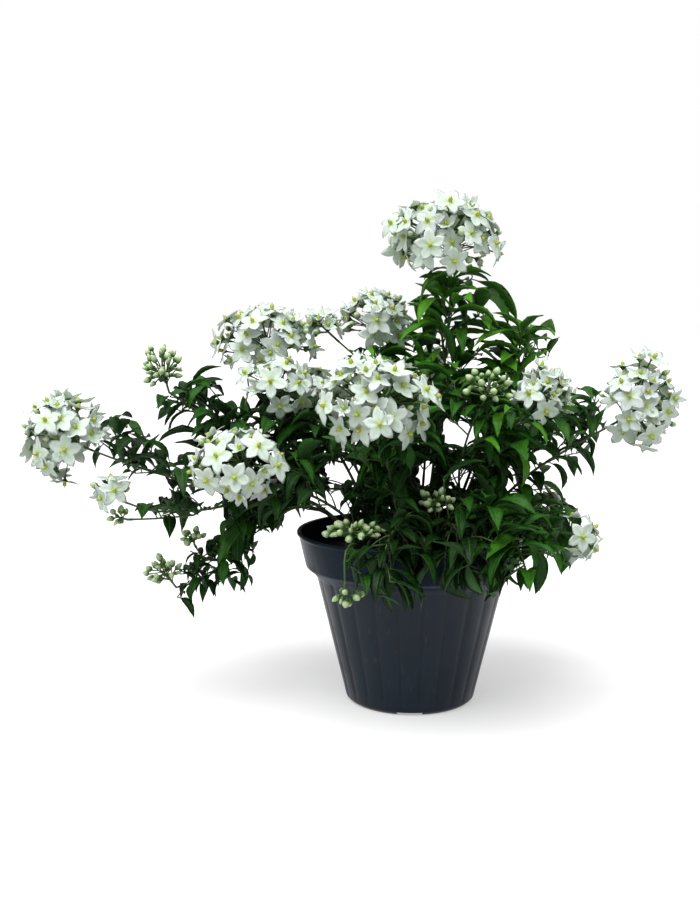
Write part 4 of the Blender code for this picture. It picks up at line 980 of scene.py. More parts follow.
def bent_twig(start, tangent, out, pulls, lengths, attempt, draw):
    """A twig's three points, and the way that it leaves. It is shorter with each attempt."""
    ahead, outward, upward, loose, sag = pulls
    way = (ahead * tangent + outward * out + upward * UP + loose * sway(draw)).normalized()
    length = draw.uniform(*lengths) * (1 - 0.06 * attempt)
    bend = (way + 0.35 * tangent - sag * UP).normalized()
    knee = start + way * 0.5 * length
    return [start, knee, knee + bend * 0.5 * length], way


def twig_probe(foot, points):
    """A twig's faces a little larger, from a foot that is clear of what carries it."""
    return branch_faces(make_branch("", 0, [foot] + points[1:], [TWIG_RADIUS + LEAF_CLEARANCE] * 3, 3))


def plan_twigs(limbs, placed):
    """Side twigs, in turn round each limb, wherever one fits."""
    twigs = []
    for number, limb in enumerate(limbs):
        draw = draws("twigs", number)
        turn = draw.uniform(0, math.tau)
        last = len(limb["rings"]) - 1
        first = round(TWIG_FIRST_SHARE * last) if limb["index"] == 0 else 1
        for i in range(first, last):
            tangent = way_on(limb, i)
            for attempt in range(TWIG_TRIES):
                k = free_side(limb, i, way_out(tangent, turn, attempt, draw))
                if k is None:
                    break
                root = socket(limb, i, k)
                start = middle_of(root)
                points, way = bent_twig(start, tangent, socket_normal(root), TWIG_PULLS, TWIG_LENGTH,
                                        attempt, draw)
                if not all(masses_at(point) for point in points[1:]):
                    continue
                twig = make_branch(limb["stem"], "twig", points, TWIG_RADII, 3, root)
                twig["share"] = i / last
                probe = twig_probe(start + way * STALK_REACH, points)
                if placed.is_clear(probe, branch_faces(twig), limb):
                    limb["used"].add((i, k))
                    placed.add(branch_faces(twig), twig)
                    twigs.append(twig)
                    break
            turn += GOLDEN_ANGLE
    return twigs


def leaf_sites(branches):
    """Where leaves may grow: at twigs' tips first, then ring by ring, mostly from the ends inward."""
    sites = []
    for number, branch in enumerate(branches):
        draw = draws("leaf_sites", number)
        turn = draw.uniform(0, math.tau)
        last = len(branch["rings"]) - 1
        if branch["index"] == "twig":
            sites.append((0, draw.random(), branch, last, None))
        for i in range(LEAF_FIRST_RING if branch["index"] == 0 else 1, last):
            for rank in range(LEAVES_A_RING):
                inward = 1 - branch.get("share", i / last)
                sites.append((1 + rank, inward + draw.uniform(0, INNER_LEAF_CHANCE), branch, i, turn))
                turn += GOLDEN_ANGLE
    return sorted(sites, key=lambda site: site[:2])


def seen_from_front(point):
    """Where a point is seen from the viewpoint, as (x, z) on the plane y = 0."""
    share = VIEWPOINT.y / (VIEWPOINT.y - point.y)
    return point.x * share, VIEWPOINT.z + (point.z - VIEWPOINT.z) * share


def in_ellipse(spot, centre_x, centre_z, half_x, half_z, *_):
    return ((spot[0] - centre_x) / half_x) ** 2 + ((spot[1] - centre_z) / half_z) ** 2 < 1


def masses_at(point):
    """The leafy masses that a point is seen inside of, or none where it is seen in a gap."""
    spot = [value / MM for value in seen_from_front(point)]
    if any(in_ellipse(spot, *gap) for gap in GAPS):
        return []
    return [mass for mass in LEAFY_MASSES.values() if in_ellipse(spot, *mass)]


def hides_head(points, heads):
    """Whether any point stands in front of a head's flowers, as they face or as they are seen."""
    for head in heads:
        centre, half, dome = head["centre"], head["half"], head["dome"]
        seen = seen_from_front(centre)
        for point in points:
            away = point - centre
            depth = away.dot(dome)
            beside = (away - dome * depth).length
            if 0 < depth < CLEAR_BEFORE_HEAD and beside < max(half) + CLEAR_BESIDE_HEAD:
                return True
            if away.y < 0 and dome.y < 0 and in_ellipse(seen_from_front(point), *seen, half.x, half.z):
                return True
    return False


def root_for(points, up):
    """The same three points, begun so that the last of them is the uppermost."""
    top = max(range(3), key=lambda j: points[j].dot(up))
    return points[(top + 1) % 3], points[(top + 2) % 3], points[top]


def new_leaf(branch, start, way, length, widths, droops, draw):
    return {
        "stem": branch["stem"], "branch": branch, "start": start,
        "length": length, "width": length * draw.uniform(*widths),
        "heading": math.atan2(way.y, way.x), "rise": math.asin(max(-1.0, min(1.0, way.z))),
        "droop": draw.uniform(*droops), "roll": draw.uniform(-LEAF_ROLL, LEAF_ROLL),
        "fold": draw.uniform(*LEAF_FOLD),
    }


def leaf_try(site, draw, attempt):
    """A leaf at a site, turned further and made smaller with each attempt, or None."""
    rank, _, branch, i, turn = site
    tangent = way_on(branch, i - 1 if turn is None else i)
    k = None
    if turn is None:
        root = branch["rings"][i]
        way = (tangent + 0.3 * UP + 0.25 * sway(draw)).normalized()
    else:
        k = free_side(branch, i, way_out(tangent, turn, attempt, draw))
        if k is None:
            return None
        root = socket(branch, i, k)
        out = socket_normal(root)
        way = (0.45 * tangent + 0.75 * out + 0.45 * UP + 0.15 * sway(draw)).normalized()
        if way.dot(out) < LEAST_SOCKET_FIT:
            return None
    length = draw.uniform(*LEAF_LENGTH) * (1 - 0.05 * attempt) * (SMALL_LEAF_SHARE if rank > 0 else 1.0)
    length *= min((mass[-1] for mass in masses_at(branch["points"][i])), default=1.0)
    leaf = new_leaf(branch, middle_of(root), way, length, LEAF_WIDTH_SHARE, LEAF_DROOP, draw)
    leaf["stations"] = SMALL_LEAF_STATIONS if rank > 0 else LEAF_STATIONS
    leaf["side"] = i, k
    leaf["root"] = root_for(root, leaf_spine(leaf, 0.0)[3])
    return leaf


def fitting_probe(leaf, heads, width_share=1.0):
    """A leaf's faces a little larger, without the foot of its stalk, or None.

    None says that the leaf isn't seen in the leafy masses, lies too low or hides a head.
    """
    if not all(masses_at(leaf_spine(leaf, share)[0]) for share in LEAF_LOOKS):
        return None
    leaf = dict(leaf, width=width_share * leaf["width"])
    point, _, side, normal = leaf_spine(leaf, STALK_REACH / leaf["length"])
    wide = PETIOLE_RADIUS + LEAF_CLEARANCE
    root = point - side * wide, point + side * wide, point + normal * wide
    probe = leaf_faces(leaf, root, LEAF_CLEARANCE)
    points = [point for face in probe for point in face]
    if min(point.z for point in points) < LOWEST_LEAF or hides_head(points, heads):
        return None
    return probe


def plan_leaves(branches, heads, placed):
    leaves = []
    for number, site in enumerate(leaf_sites(branches)):
        draw = draws("leaves", number)
        for attempt in range(LEAF_TRIES):
            leaf = leaf_try(site, draw, attempt)
            probe = leaf and fitting_probe(leaf, heads)
            if probe and placed.is_clear(probe, leaf_faces(leaf), leaf["branch"]):
                leaves.append(leaf)
                if leaf["side"][1] is None:
                    leaf["branch"]["end_used"] = True
                else:
                    leaf["branch"]["used"].add(leaf["side"])
                placed.add(leaf_faces(leaf), leaf["branch"])
                break
        if len(leaves) == MOST_LEAVES:
            break
    return leaves


def turned(profile, segments):
    """A turned solid from (radius, height, flute) rows; the first and last lie on the axis."""
    rings = []
    for radius, height, flute in profile:
        inward = (0.0, FLUTE_DEPTH * flute)
        rings.append([on_circle(radius - inward[k % 2], math.tau * k / segments - math.pi / 2, height)
                      for k in range(segments if radius else 1)])
    faces = []
    for lower, upper in zip(rings, rings[1:]):
        for k in range(segments):
            after = (k + 1) % segments
            if len(lower) == 1:
                faces.append([lower[0], upper[after], upper[k]])
            elif len(upper) == 1:
                faces.append([lower[k], lower[after], upper[0]])
            else:
                faces.append([lower[k], lower[after], upper[after], upper[k]])
    return faces


def soil_rows():
    """The soil's side as (radius, height) rows, a gap away from the pot's inside, and its top's edge."""
    gap = SEAT_GAP
    rim, collar, step, corner, floor = POT_INSIDE
    rows = [
        (floor[0] - 2 * gap, floor[1] + gap),
        (corner[0] - 1.4 * gap, corner[1] + 0.5 * gap),
        (step[0] - 1.4 * gap, step[1] + 0.6 * gap),
        (collar[0] - 1.4 * gap, collar[1] + 0.6 * gap),
    ]
    share = (SOIL_TOP - rows[-1][1]) / (rim[1] - rows[-1][1])
    return rows, rows[-1][0] + (rim[0] - collar[0]) * share - 0.3 * gap


def soil_shape():
    """The solid soil, with a slightly uneven top."""
    draw = draws("soil")
    rows, edge = soil_rows()
    profile = [(0.0, rows[0][1], 0.0)] + [(radius, height, 0.0) for radius, height in rows]
    profile += [(edge * share, SOIL_TOP, 0.0) for share in (1.0, *SOIL_RINGS, 0.0)]
    lift = {}
    faces = turned(profile, SOIL_SEGMENTS)
    for face in faces:
        for j, point in enumerate(face):
            if point.z > SOIL_TOP - 1e-7 and point.length_squared < (0.99 * edge) ** 2 + SOIL_TOP**2:
                key = tuple(point)
                if key not in lift:
                    lift[key] = point + UP * draw.uniform(-SOIL_BUMP, SOIL_BUMP)
                face[j] = lift[key]
    return faces


# Growth that the solids leave out


def inside_box(points):
    low, high = cad_box
    return all(low[i] - BOX_MARGIN < p[i] < high[i] + BOX_MARGIN for p in points for i in range(3))


def plan_shoots(limbs, placed):
    """More side twigs, between the ones that the solids have."""
    shoots = []
    for number, limb in enumerate(limbs):
        draw = draws("shoots", number)
        length = route_length(limb["points"])
        distance = (SHOOT_FIRST if limb["index"] == 0 else 0.0) + draw.uniform(0.3, 1.0) * SHOOT_STEP
        turn = draw.uniform(0, math.tau)
        while distance < length - 4 * MM:
            start, tangent = along(limb, distance)
            for attempt in range(SHOOT_TRIES):
                out = way_out(tangent, turn, attempt, draw)
                points, way = bent_twig(start, tangent, out, SHOOT_PULLS, SHOOT_LENGTH, attempt, draw)
                if not all(masses_at(point) for point in points[1:]):
                    continue
                probe = twig_probe(start + way * STALK_REACH * 1.6, points)
                if placed.crosses_none(probe) and inside_box(points):
                    shoot = make_branch(limb["stem"], "shoot", points, TWIG_RADII, 3)
                    shoot["share"] = distance / length
                    placed.add(branch_faces(shoot), shoot)
                    shoots.append(shoot)
                    break
            distance += SHOOT_STEP * draw.uniform(0.7, 1.3)
            turn += GOLDEN_ANGLE
    return shoots


def more_leaf(branch, distance, turn, draw, attempt):
    """A leaf at a distance along a branch, turned further and made smaller with each attempt."""
    start, tangent = along(branch, distance)
    out = way_out(tangent, turn, attempt, draw)
    lift = draw.uniform(*pick(LEAF_LIFT, branch["stem"]))
    way = (0.45 * tangent + 0.8 * out + lift * UP + 0.2 * sway(draw)).normalized()
    length = draw.uniform(*MORE_LEAF_LENGTH) * (1 - 0.06 * attempt) * pick(LONG_LEAVES, branch["stem"])
    length *= min(1.0, 2 * min((mass[-1] for mass in masses_at(start)), default=1.0) - 0.45)
    leaf = new_leaf(branch, start, way, length, MORE_LEAF_WIDTH_SHARE, MORE_LEAF_DROOP, draw)
    leaf.update(stations=MORE_LEAF_STATIONS, distance=distance)
    return leaf


def plan_more_leaves(branches, heads, placed):
    """Leaves between those of the solids, wherever one fits, from the branches' ends inward."""
    sites = []
    for number, branch in enumerate(branches):
        draw = draws("more_leaf_sites", number)
        length = route_length(branch["points"])
        distance = MORE_LEAF_FIRST if branch["index"] == 0 else 6 * MM
        turn = draw.uniform(0, math.tau)
        while distance < length:
            sites.append((1 - distance / length + draw.random(), branch, distance, turn))
            distance += MORE_LEAF_STEP * draw.uniform(0.6, 1.4)
            turn += GOLDEN_ANGLE
        sites.append((draw.random() - 1, branch, length - 0.2 * MM, turn))
    sites.sort(key=lambda site: site[0])
    heads = [dict(head, half=Vector([max(reach, LEAST_HEAD_REACH) for reach in head["half"]]))
             for head in heads]
    leaves = []
    for number, (_, branch, distance, turn) in enumerate(sites):
        draw = draws("more_leaves", number)
        for attempt in range(MORE_LEAF_TRIES):
            leaf = more_leaf(branch, distance, turn, draw, attempt)
            probe = fitting_probe(leaf, heads, FREE_LEAF_SHARE)
            if probe and inside_box([p for face in probe for p in face]) and placed.crosses_none(probe):
                placed.add(probe, branch)
                leaves.append(leaf)
                break
    return leaves


def cut_back(shoots, leaves):
    """The shoots that found room for a leaf, each ending at its last one."""
    kept = []
    for shoot in shoots:
        reach = max((leaf["distance"] for leaf in leaves if leaf["branch"] is shoot), default=0.0)
        if reach:
            points = shoot["points"]
            shoot["points"] = [points[0]] + [point_at(points, share * reach) for share in (0.5, 1.0)]
            kept.append(shoot)
    return kept


def lies_free(item, other):
    """Whether two flowers or buds of a head lie side by side, or one over the other's petals."""
    gap = item["centre"] - other["centre"]
    rise = gap.dot(other["facing"])
    aside = (gap - rise * other["facing"]).length
    reach = item["radius"] + other["radius"]
    over = aside > APART_OVER * reach and abs(rise) > APART_RISE * reach
    return aside > APART_BESIDE * reach or over


def more_item(head, kind, ray, depth, draw):
    """A flower or bud on a dome, with its stalk from a drawn place on the head's axis."""
    axis = head["axis"]
    place = dome_place(head, ray, depth)
    foot, _ = along(axis, draw.uniform(*STALK_FEET) * route_length(axis["points"]))
    stalk = (place - foot).normalized()
    root = ring(foot, stalk, stalk.orthogonal(), PEDICEL_RADIUS, 3)
    item = new_item(kind, place, root, stalk, ray, head["dome"], MORE_ITEM_PULLS, draw)
    size_item(item, MORE_SIZES, draw)
    if kind == "flower" and draw.random() < pick(HALF_OPEN_CHANCE, head["name"]):
        item["radius"] = HALF_OPEN_WIDTH * item["radius"]
        item["lift"] = draw.uniform(*HALF_OPEN_LIFT) * MM
    return item


def plan_more_flowers(heads, placed):
    """Flowers and buds over each head's whole dome, petals over petals, on stalks from its axis."""
    cover = 1 - math.cos(DOME_COVER)
    for number, head in enumerate(heads):
        draw = draws("more_flowers", number)
        half, items, axis = head["half"], head["items"], head["axis"]
        flowers = any(item["kind"] == "flower" for item in items)
        mean = sum(half[i] * half[i - 1] for i in range(3)) / 3
        area = math.tau * mean * cover
        count = round(area / (FLOWER_PATCH if flowers else BUD_PATCH)) + len(items) // 2
        count = round(count * pick(HEAD_FULLNESS, head["name"]))
        start = draw.uniform(0, math.tau)
        for k in range(count):
            for attempt in range(MORE_FLOWER_TRIES):
                jitter = 0.05 * attempt
                polar = math.acos(1 - (k + 0.5) / count * cover) + draw.uniform(-jitter, jitter)
                ray = dome_ray(head, polar, start + k * GOLDEN_ANGLE + draw.uniform(-jitter, jitter))
                swell = noise.noise(2.2 * ray + 50 * head["centre"])
                if flowers and swell < pick(BARE_BELOW, head["name"]):
                    continue
                depth = draw.uniform(*MORE_DOME_DEPTHS) * (1 + 0.25 * swell)
                open_now = flowers and (attempt < MORE_FLOWER_TRIES - 3 or k % 3)
                item = more_item(head, "flower" if open_now else "bud", ray, depth, draw)
                share = FREE_FLOWER_SHARE if open_now else 1.0
                probe = item_probe(dict(item, radius=share * item["radius"]))
                if (all(lies_free(item, other) for other in items) and placed.crosses_none(probe, axis)
                        and inside_box([p for face in probe for p in face])):
                    placed.add(probe, axis)
                    items.append(item)
                    break


# Drawing: a piece is gathered from closed skins through rings of points


class Piece:
    """The points and faces of one piece, with each point's place on its leaf, petal or stem."""

    def __init__(self):
        self.points, self.places, self.tones = [], [], []
        self.faces, self.looks = [], []

    def skin(self, rings, places, look, tone, low=None, high=None):
        """A closed skin through rings that turn counter-clockwise about the way from low to high.

        Each ring has a list of its points' places, or one place for all of them.
        """
        first, count = len(self.points), len(rings[0])
        rows = [[first + i * count + k for k in range(count)] for i in range(len(rings))]
        for circle, row in zip(rings, places):
            self.points += circle
            self.places += row if isinstance(row, list) else [row] * count
        made = []
        for lower, upper in zip(rows, rows[1:]):
            made += [(lower[k - 1], lower[k], upper[k], upper[k - 1]) for k in range(count)]
        for end, circle, start in ((low, rows[0][::-1], rows[0][0]), (high, rows[-1], rows[-1][0])):
            if end is None:
                made.append(tuple(circle))
                continue
            made += [(circle[k - 1], circle[k], len(self.points)) for k in range(count)]
            self.points.append(end)
            self.places.append((self.places[start][0], 0.0, self.places[start][2]))
        self.tones += [tone] * (len(self.points) - first)
        self.faces += made
        self.looks += [look] * len(made)

    def tube(self, points, radii, sides, look, tone, ages=(0.0, 1.0)):
        """A round tube through points. Each point's place is its age, from one end's to the other's."""
        rings, places = [], []
        way = (points[1] - points[0]).orthogonal()
        for i, point in enumerate(points):
            tangent = (points[min(i + 1, len(points) - 1)] - points[max(i - 1, 0)]).normalized()
            rings.append(ring(point, tangent, way, radii[i], sides))
            way = rings[-1][0] - point
            age = ages[0] + (ages[1] - ages[0]) * i / (len(points) - 1)
            places.append([(age, 2 * k / sides - 1, 0.0) for k in range(sides)])
        self.skin(rings, places, look, tone, high=points[-1] + tangent * radii[-1] * 0.6)

    def object(self, name, looks):
        mesh = bpy.data.meshes.new(name)
        mesh.from_pydata(self.points, [], self.faces)
        for look in looks:
            mesh.materials.append(look)
        mesh.polygons.foreach_set("material_index", self.looks)
        mesh.attributes.new("place", "FLOAT_VECTOR", "POINT").data.foreach_set(
            "vector", [value for place in self.places for value in place])
        mesh.attributes.new("tone", "FLOAT", "POINT").data.foreach_set("value", self.tones)
        mesh.shade_smooth()
        return linked(name, mesh)


def linked(name, data):
    """A new object in the scene."""
    found = bpy.data.objects.new(name, data)
    bpy.context.scene.collection.objects.link(found)
    return found


def draw_leaf(piece, leaf, look, draw, youth):
    """A thin arched blade, folded up along its midrib, waved along its edges, on a round stalk."""
    rings, places = [], []
    phase, turns = draw.uniform(0, math.tau), draw.uniform(1.5, 3.0)
    for share in LEAF_RINGS:
        point, _, side, normal = leaf_spine(leaf, share)
        x = max(0.0, (share - BLADE_FROM) / (1 - BLADE_FROM))
        half = max(0.5 * leaf["width"] * math.sin(math.pi * x**0.75) ** BLADE_SHAPE, FINE_PETIOLE)
        circle = []
        for number, (v, under) in enumerate(LEAF_SECTION):
            if x == 0:
                turn = math.tau * number / len(LEAF_SECTION)
                circle.append(around(point, side, normal, FINE_PETIOLE, turn))
            else:
                rise = math.tan(leaf["fold"]) * half * abs(v) ** 1.3
                rise += LEAF_WAVE * leaf["width"] * v * math.sin(math.tau * turns * share + phase + v)
                rise -= FINE_THICKNESS * under * (1 - 0.5 * abs(v))
                circle.append(point + side * half * v + normal * rise)
        rings.append(circle)
        places.append([(share, v, under) for v, under in LEAF_SECTION])
    # The leaf's tone: fresher near the growing ends, painted shade low in the plant, painted light at its
    # top, the stem's painted light and shade, and a random difference
    height = (leaf["start"].z - SHADED_BELOW) / (LIT_ABOVE - SHADED_BELOW)
    tone = TONE_BY_YOUTH * youth + PAINTED_LIGHT_BY_HEIGHT * height + pick(STEM_LIGHT_AND_SHADE, leaf["stem"])
    tone = min(1.0, max(0.0, tone + draw.gauss(0, 0.1 + 0.07 * min(1.0, height))))
    piece.skin(rings, places, look, tone, high=leaf_spine(leaf, 1.0)[0])


def draw_branch(piece, branch, look):
    """A round stem through a branch's points, a little swollen where leaves leave it."""
    thin = branch["index"] in ("twig", "shoot")
    points = smooth_route(branch["points"], TWIG_STEP if thin else LIMB_STEP)
    low, high = branch["radii"][0], branch["radii"][-1]
    count = len(points) - 1
    radii = [STEM_FULLNESS * (low + (high - low) * i / count) * (NODE_SWELL if i % 3 == 1 else 1.0)
             for i in range(count + 1)]
    ages = (0.0, 0.8) if branch["index"] == 0 else (0.45, 1.0)
    piece.tube(points, radii, TWIG_SIDES if thin else LIMB_SIDES, look, 0.5, ages)


def draw_stalk(piece, item, end, radius, end_radius, look):
    """A gently bent stalk from an item's root to its back."""
    start = middle_of(item["root"])
    span = (end - start).length
    mid = start.lerp(end, 0.55) - item["facing"] * 0.07 * span + UP * 0.02 * span
    route = smooth_route([start, mid, end], max(3 * MM, span / 6))
    piece.tube(route, [radius] * (len(route) - 1) + [end_radius], 5, look, 0.5, (0.4, 0.9))


def lobed_ring(centre, across, over, radius, lobe, sides, turn=0.0, first=0):
    """Points round a centre, on a circle with five lobes."""
    return [around(centre, across, over, radius * (1 + lobe * math.cos(5 * math.tau * k / sides)),
                   turn + math.tau * k / sides) for k in range(first, first + sides)]


def draw_petals(piece, item, axes, turn, look, draw):
    """Five broad pointed petals, creased and wrinkled, joined towards the throat."""
    centre, facing, radius = item["centre"], item["facing"], item["radius"]
    lifts = [item["lift"] + draw.uniform(-PETAL_TILT, PETAL_TILT) * MM for _ in range(5)]
    twists = [draw.uniform(-PETAL_TWIST, PETAL_TWIST) * MM for _ in range(5)]
    lengths = [draw.uniform(*PETAL_LENGTHS) for _ in range(5)]
    curls = [draw.uniform(*PETAL_CURLS) * MM for _ in range(5)]
    count = 5 * PETAL_STEPS
    wrinkles = {t: [draw.uniform(-PETAL_WRINKLE, PETAL_WRINKLE) * t * MM for _ in range(count)]
                for t in PETAL_RINGS}
    rings, places = [], []
    for t, under in [(t, 1) for t in PETAL_RINGS[:-1]] + [(t, 0) for t in reversed(PETAL_RINGS)]:
        rings.append([])
        places.append([])
        for k in range(count):
            petal = ((k + PETAL_STEPS // 2) // PETAL_STEPS) % 5
            phi = (k - petal * PETAL_STEPS + count // 2) % count - count // 2
            phi = phi / (PETAL_STEPS / 2)
            shape = PETALS_JOINED + (1 - PETALS_JOINED) * (1 - abs(phi) ** 1.3)
            shape -= TIP_SHARE * min(1.0, 4 * abs(phi))
            length = 1 + (lengths[petal] - 1) * (1 - abs(phi))
            reach = radius * length * t * (1 - t * (1 - shape))
            share = reach / radius
            height = lifts[petal] * share**2 + twists[petal] * phi * t
            height += 0.8 * MM * (abs(phi) - 0.5) * math.sin(math.pi * min(1.0, t * 1.1))
            height -= curls[petal] * (max(0.0, share - 0.55) / 0.45) ** 1.5
            height += wrinkles[t][k] - PETAL_THICKNESS * under
            rings[-1].append(around(centre + facing * height, *axes, reach,
                                    turn + FIFTH * k / PETAL_STEPS))
            places[-1].append((t, phi, under))
    piece.skin(rings, places, look, draw.random(), low=centre - facing * 0.35 * MM,
               high=centre + facing * 0.1 * MM)


def draw_flower(piece, item, looks, draw):
    """Petals, a ribbed cone of stamens with its style, and a calyx on a stalk."""
    petal_look, stamen_look, stalk_look = looks
    centre, facing = item["centre"], item["facing"]
    axes = cross_axes(facing)
    turn = first_petal_turn(stalk_ring(item, Vector(), 1.0, 3)[0], *axes)
    draw_petals(piece, item, axes, turn, petal_look, draw)
    rings = [lobed_ring(centre + facing * height * MM, *axes, wide * MM, STAMEN_RIBS, STAMEN_SIDES, turn)
             for height, wide in STAMEN_RINGS]
    places = [[(height / 6, math.cos(5 * math.tau * k / STAMEN_SIDES), 0.0) for k in range(STAMEN_SIDES)]
              for height, _ in STAMEN_RINGS]
    piece.skin(rings, places, stamen_look, draw.random(), high=centre + facing * 4.0 * MM)
    piece.tube([centre + facing * 3.7 * MM, centre + facing * 4.9 * MM], [0.22 * MM, 0.28 * MM], 5,
               stalk_look, 1.0, (0.8, 1.0))
    rings = [lobed_ring(centre + facing * height * MM, *axes, wide * MM, lobe, 10, turn, 1)
             for height, wide, lobe in CALYX_RINGS]
    piece.skin(rings, [(0.8, 0.0, 0.0)] * len(rings), stalk_look, 0.7, high=centre - facing * 0.4 * MM)
    draw_stalk(piece, item, centre - facing * 3.2 * MM, 0.55 * MM, 0.8 * MM, stalk_look)


def draw_bud(piece, item, looks, draw):
    """A plump bud with five faint pleats, in a small green cup on its stalk."""
    bud_look, stalk_look = looks
    facing, length, wide = item["facing"], item["length"], item["radius"]
    axes = cross_axes(facing)
    base = item["centre"] - facing * 0.42 * length

    def belly(share, swell, pleat):
        radius = wide * swell * math.sin(math.pi * min(1.0, share**0.85)) ** 0.62
        return lobed_ring(base + facing * share * length * 0.95, *axes, radius, pleat, BUD_SIDES)

    rings = [belly(share, 1.02, 0.03) for share in BUD_SHARES]
    places = [[(share, math.cos(math.tau * k / 2), 0.0) for k in range(BUD_SIDES)]
              for share in BUD_SHARES]
    piece.skin(rings, places, bud_look, draw.random(), low=base, high=base + facing * length * 0.97)
    rings = [belly(share, 1.12, pleat) for share, pleat in CUP_SHARES]
    piece.skin(rings, [(0.75 + share, 0.0, 0.0) for share, _ in CUP_SHARES], stalk_look, 0.6,
               low=base - facing * 0.5 * MM, high=base + facing * 0.2 * length)
    draw_stalk(piece, item, base, 0.5 * MM, 0.75 * MM, stalk_look)


# Pot and soil


def rounded(profile, size):
    """A profile of (radius, height, flute) rows with its corners rounded over a length."""
    found = [profile[0]]
    for a, b, c in zip(profile, profile[1:], profile[2:]):
        sides = []
        for other in (a, c):
            span = math.hypot(other[0] - b[0], other[1] - b[1])
            step = min(size, 0.4 * span) / max(1e-9, span)
            sides.append(tuple(b[j] + (other[j] - b[j]) * step for j in range(3)))
        low, high = sides
        middle = tuple(0.25 * low[j] + 0.5 * b[j] + 0.25 * high[j] for j in range(3))
        found += [low, middle, high]
    return found + [profile[-1]]


def cut(target, cutters):
    """Cuts the given objects from a piece, and removes them."""
    home = bpy.data.collections.new("cutters")
    for cutter in cutters:
        home.objects.link(cutter)
    modifier = target.modifiers.new("cut", "BOOLEAN")
    modifier.operation, modifier.solver = "DIFFERENCE", "EXACT"
    modifier.operand_type, modifier.collection = "COLLECTION", home
    bpy.context.view_layer.update()
    graph = bpy.context.evaluated_depsgraph_get()
    mesh = bpy.data.meshes.new_from_object(target.evaluated_get(graph), depsgraph=graph)
    target.modifiers.clear()
    target.data = mesh
    for cutter in cutters:
        bpy.data.objects.remove(cutter)


def make_cutter(name, low, high, look):
    piece = Piece()
    piece.skin([low, high], [PLAIN] * 2, 0, 0.5)
    return piece.object(name, [look])


def make_pot(look):
    """The pot: rounded corners, grooves between its flutes, drain holes and notches in its foot."""
    profile = rounded(POT_OUTLINE, PROFILE_ROUNDING)
    rings, places = [], []
    for radius, height, flute in profile[1:-1]:
        rings.append([])
        places.append([])
        for k in range(POT_FINE_SEGMENTS):
            x = abs((k * FLUTES / POT_FINE_SEGMENTS) % 1.0 * 2 - 1)
            groove = SOFT_GROOVE * (1 - x) + SHARP_GROOVE * max(0.0, 1 - x / SHARP_WIDTH)
            angle = math.tau * k / POT_FINE_SEGMENTS - math.pi / 2
            rings[-1].append(on_circle(radius - FLUTE_DEPTH * flute * groove, angle, height))
            places[-1].append((height / POT_HEIGHT, groove * flute, 0.0))
    piece = Piece()
    piece.skin(rings, places, 0, 0.5, low=UP * profile[0][1], high=UP * profile[-1][1])
    pot = piece.object("nursery_pot", [look])
    cutters = []
    for k in range(DRAIN_HOLES):
        foot = on_circle(DRAIN_CIRCLE, math.tau * (k + 0.5) / DRAIN_HOLES, -MM)
        low, high = (ring(foot + UP * z, UP, Vector((1, 0, 0)), DRAIN_RADIUS, 24)
                     for z in (0, FLOOR_TOP + 3 * MM))
        cutters.append(make_cutter(f"drain_{k}", low, high, look))
    for k in range(NOTCHES):
        out = on_circle(1.0, math.tau * k / NOTCHES, 0.0)
        middle = out * (FOOT_RADIUS - 0.5 * FOOT_RING_WIDTH)
        long, wide = out * (0.5 * FOOT_RING_WIDTH + 5 * MM), UP.cross(out) * 0.5 * NOTCH_WIDTH
        low = [middle + a * long + b * wide - UP * NOTCH_HEIGHT for a, b in SQUARE]
        cutters.append(make_cutter(f"notch_{k}", low, [c + UP * 2 * NOTCH_HEIGHT for c in low], look))
    cut(pot, cutters)
    pot.data.shade_smooth()
    pot.data.set_sharp_from_angle(angle=POT_SHARP)
    return pot


def make_soil(look):
    """The filling of the pot: a gritty uneven top with crumbs of peat and bark, above a plain body."""
    rows, edge = soil_rows()
    angles = [math.tau * k / SOIL_FINE_SEGMENTS for k in range(SOIL_FINE_SEGMENTS)]
    rings = [[on_circle(radius, angle, height) for angle in angles] for radius, height in rows]
    for i in range(SOIL_FINE_RINGS):
        rings.append([])
        for angle in angles:
            point = on_circle(edge * (1 - i / SOIL_FINE_RINGS), angle, SOIL_TOP)
            bump = sum(noise.noise(point * waves) * height for waves, height in SOIL_WAVES)
            rings[-1].append(point + UP * (bump * MM if i else 0.0))
    piece = Piece()
    piece.skin(rings, [PLAIN] * len(rings), 0, 0.3, low=UP * rows[0][1], high=UP * SOIL_TOP)
    draw = draws("crumbs")
    for _ in range(CRUMBS):
        radius, angle = (edge - 3 * MM) * math.sqrt(draw.random()), draw.uniform(0, math.tau)
        middle = on_circle(radius, angle, SOIL_TOP + 0.4 * MM)
        size = draw.uniform(*CRUMB_SIZE) * MM
        lean = (UP + 0.6 * sway(draw)).normalized()
        low, high = 0.6 * size, draw.uniform(0.3, 0.7) * size
        circles = [ring(middle + lean * h, lean, lean.orthogonal(), size * w * draw.uniform(0.8, 1.2), 6)
                   for h, w in ((-low, 0.6), (0.0, 1.0), (high, 0.6))]
        circles = [[p + sway(draw) * size * 0.12 for p in circle] for circle in circles]
        piece.skin(circles, [PLAIN] * 3, 0, draw.random(), low=middle - lean * low * 1.4,
                   high=middle + lean * high * 1.4)
    soil = piece.object("peat_and_bark", [look])
    soil.data.set_sharp_from_angle(angle=SOIL_SHARP)
    return soil


# Materials


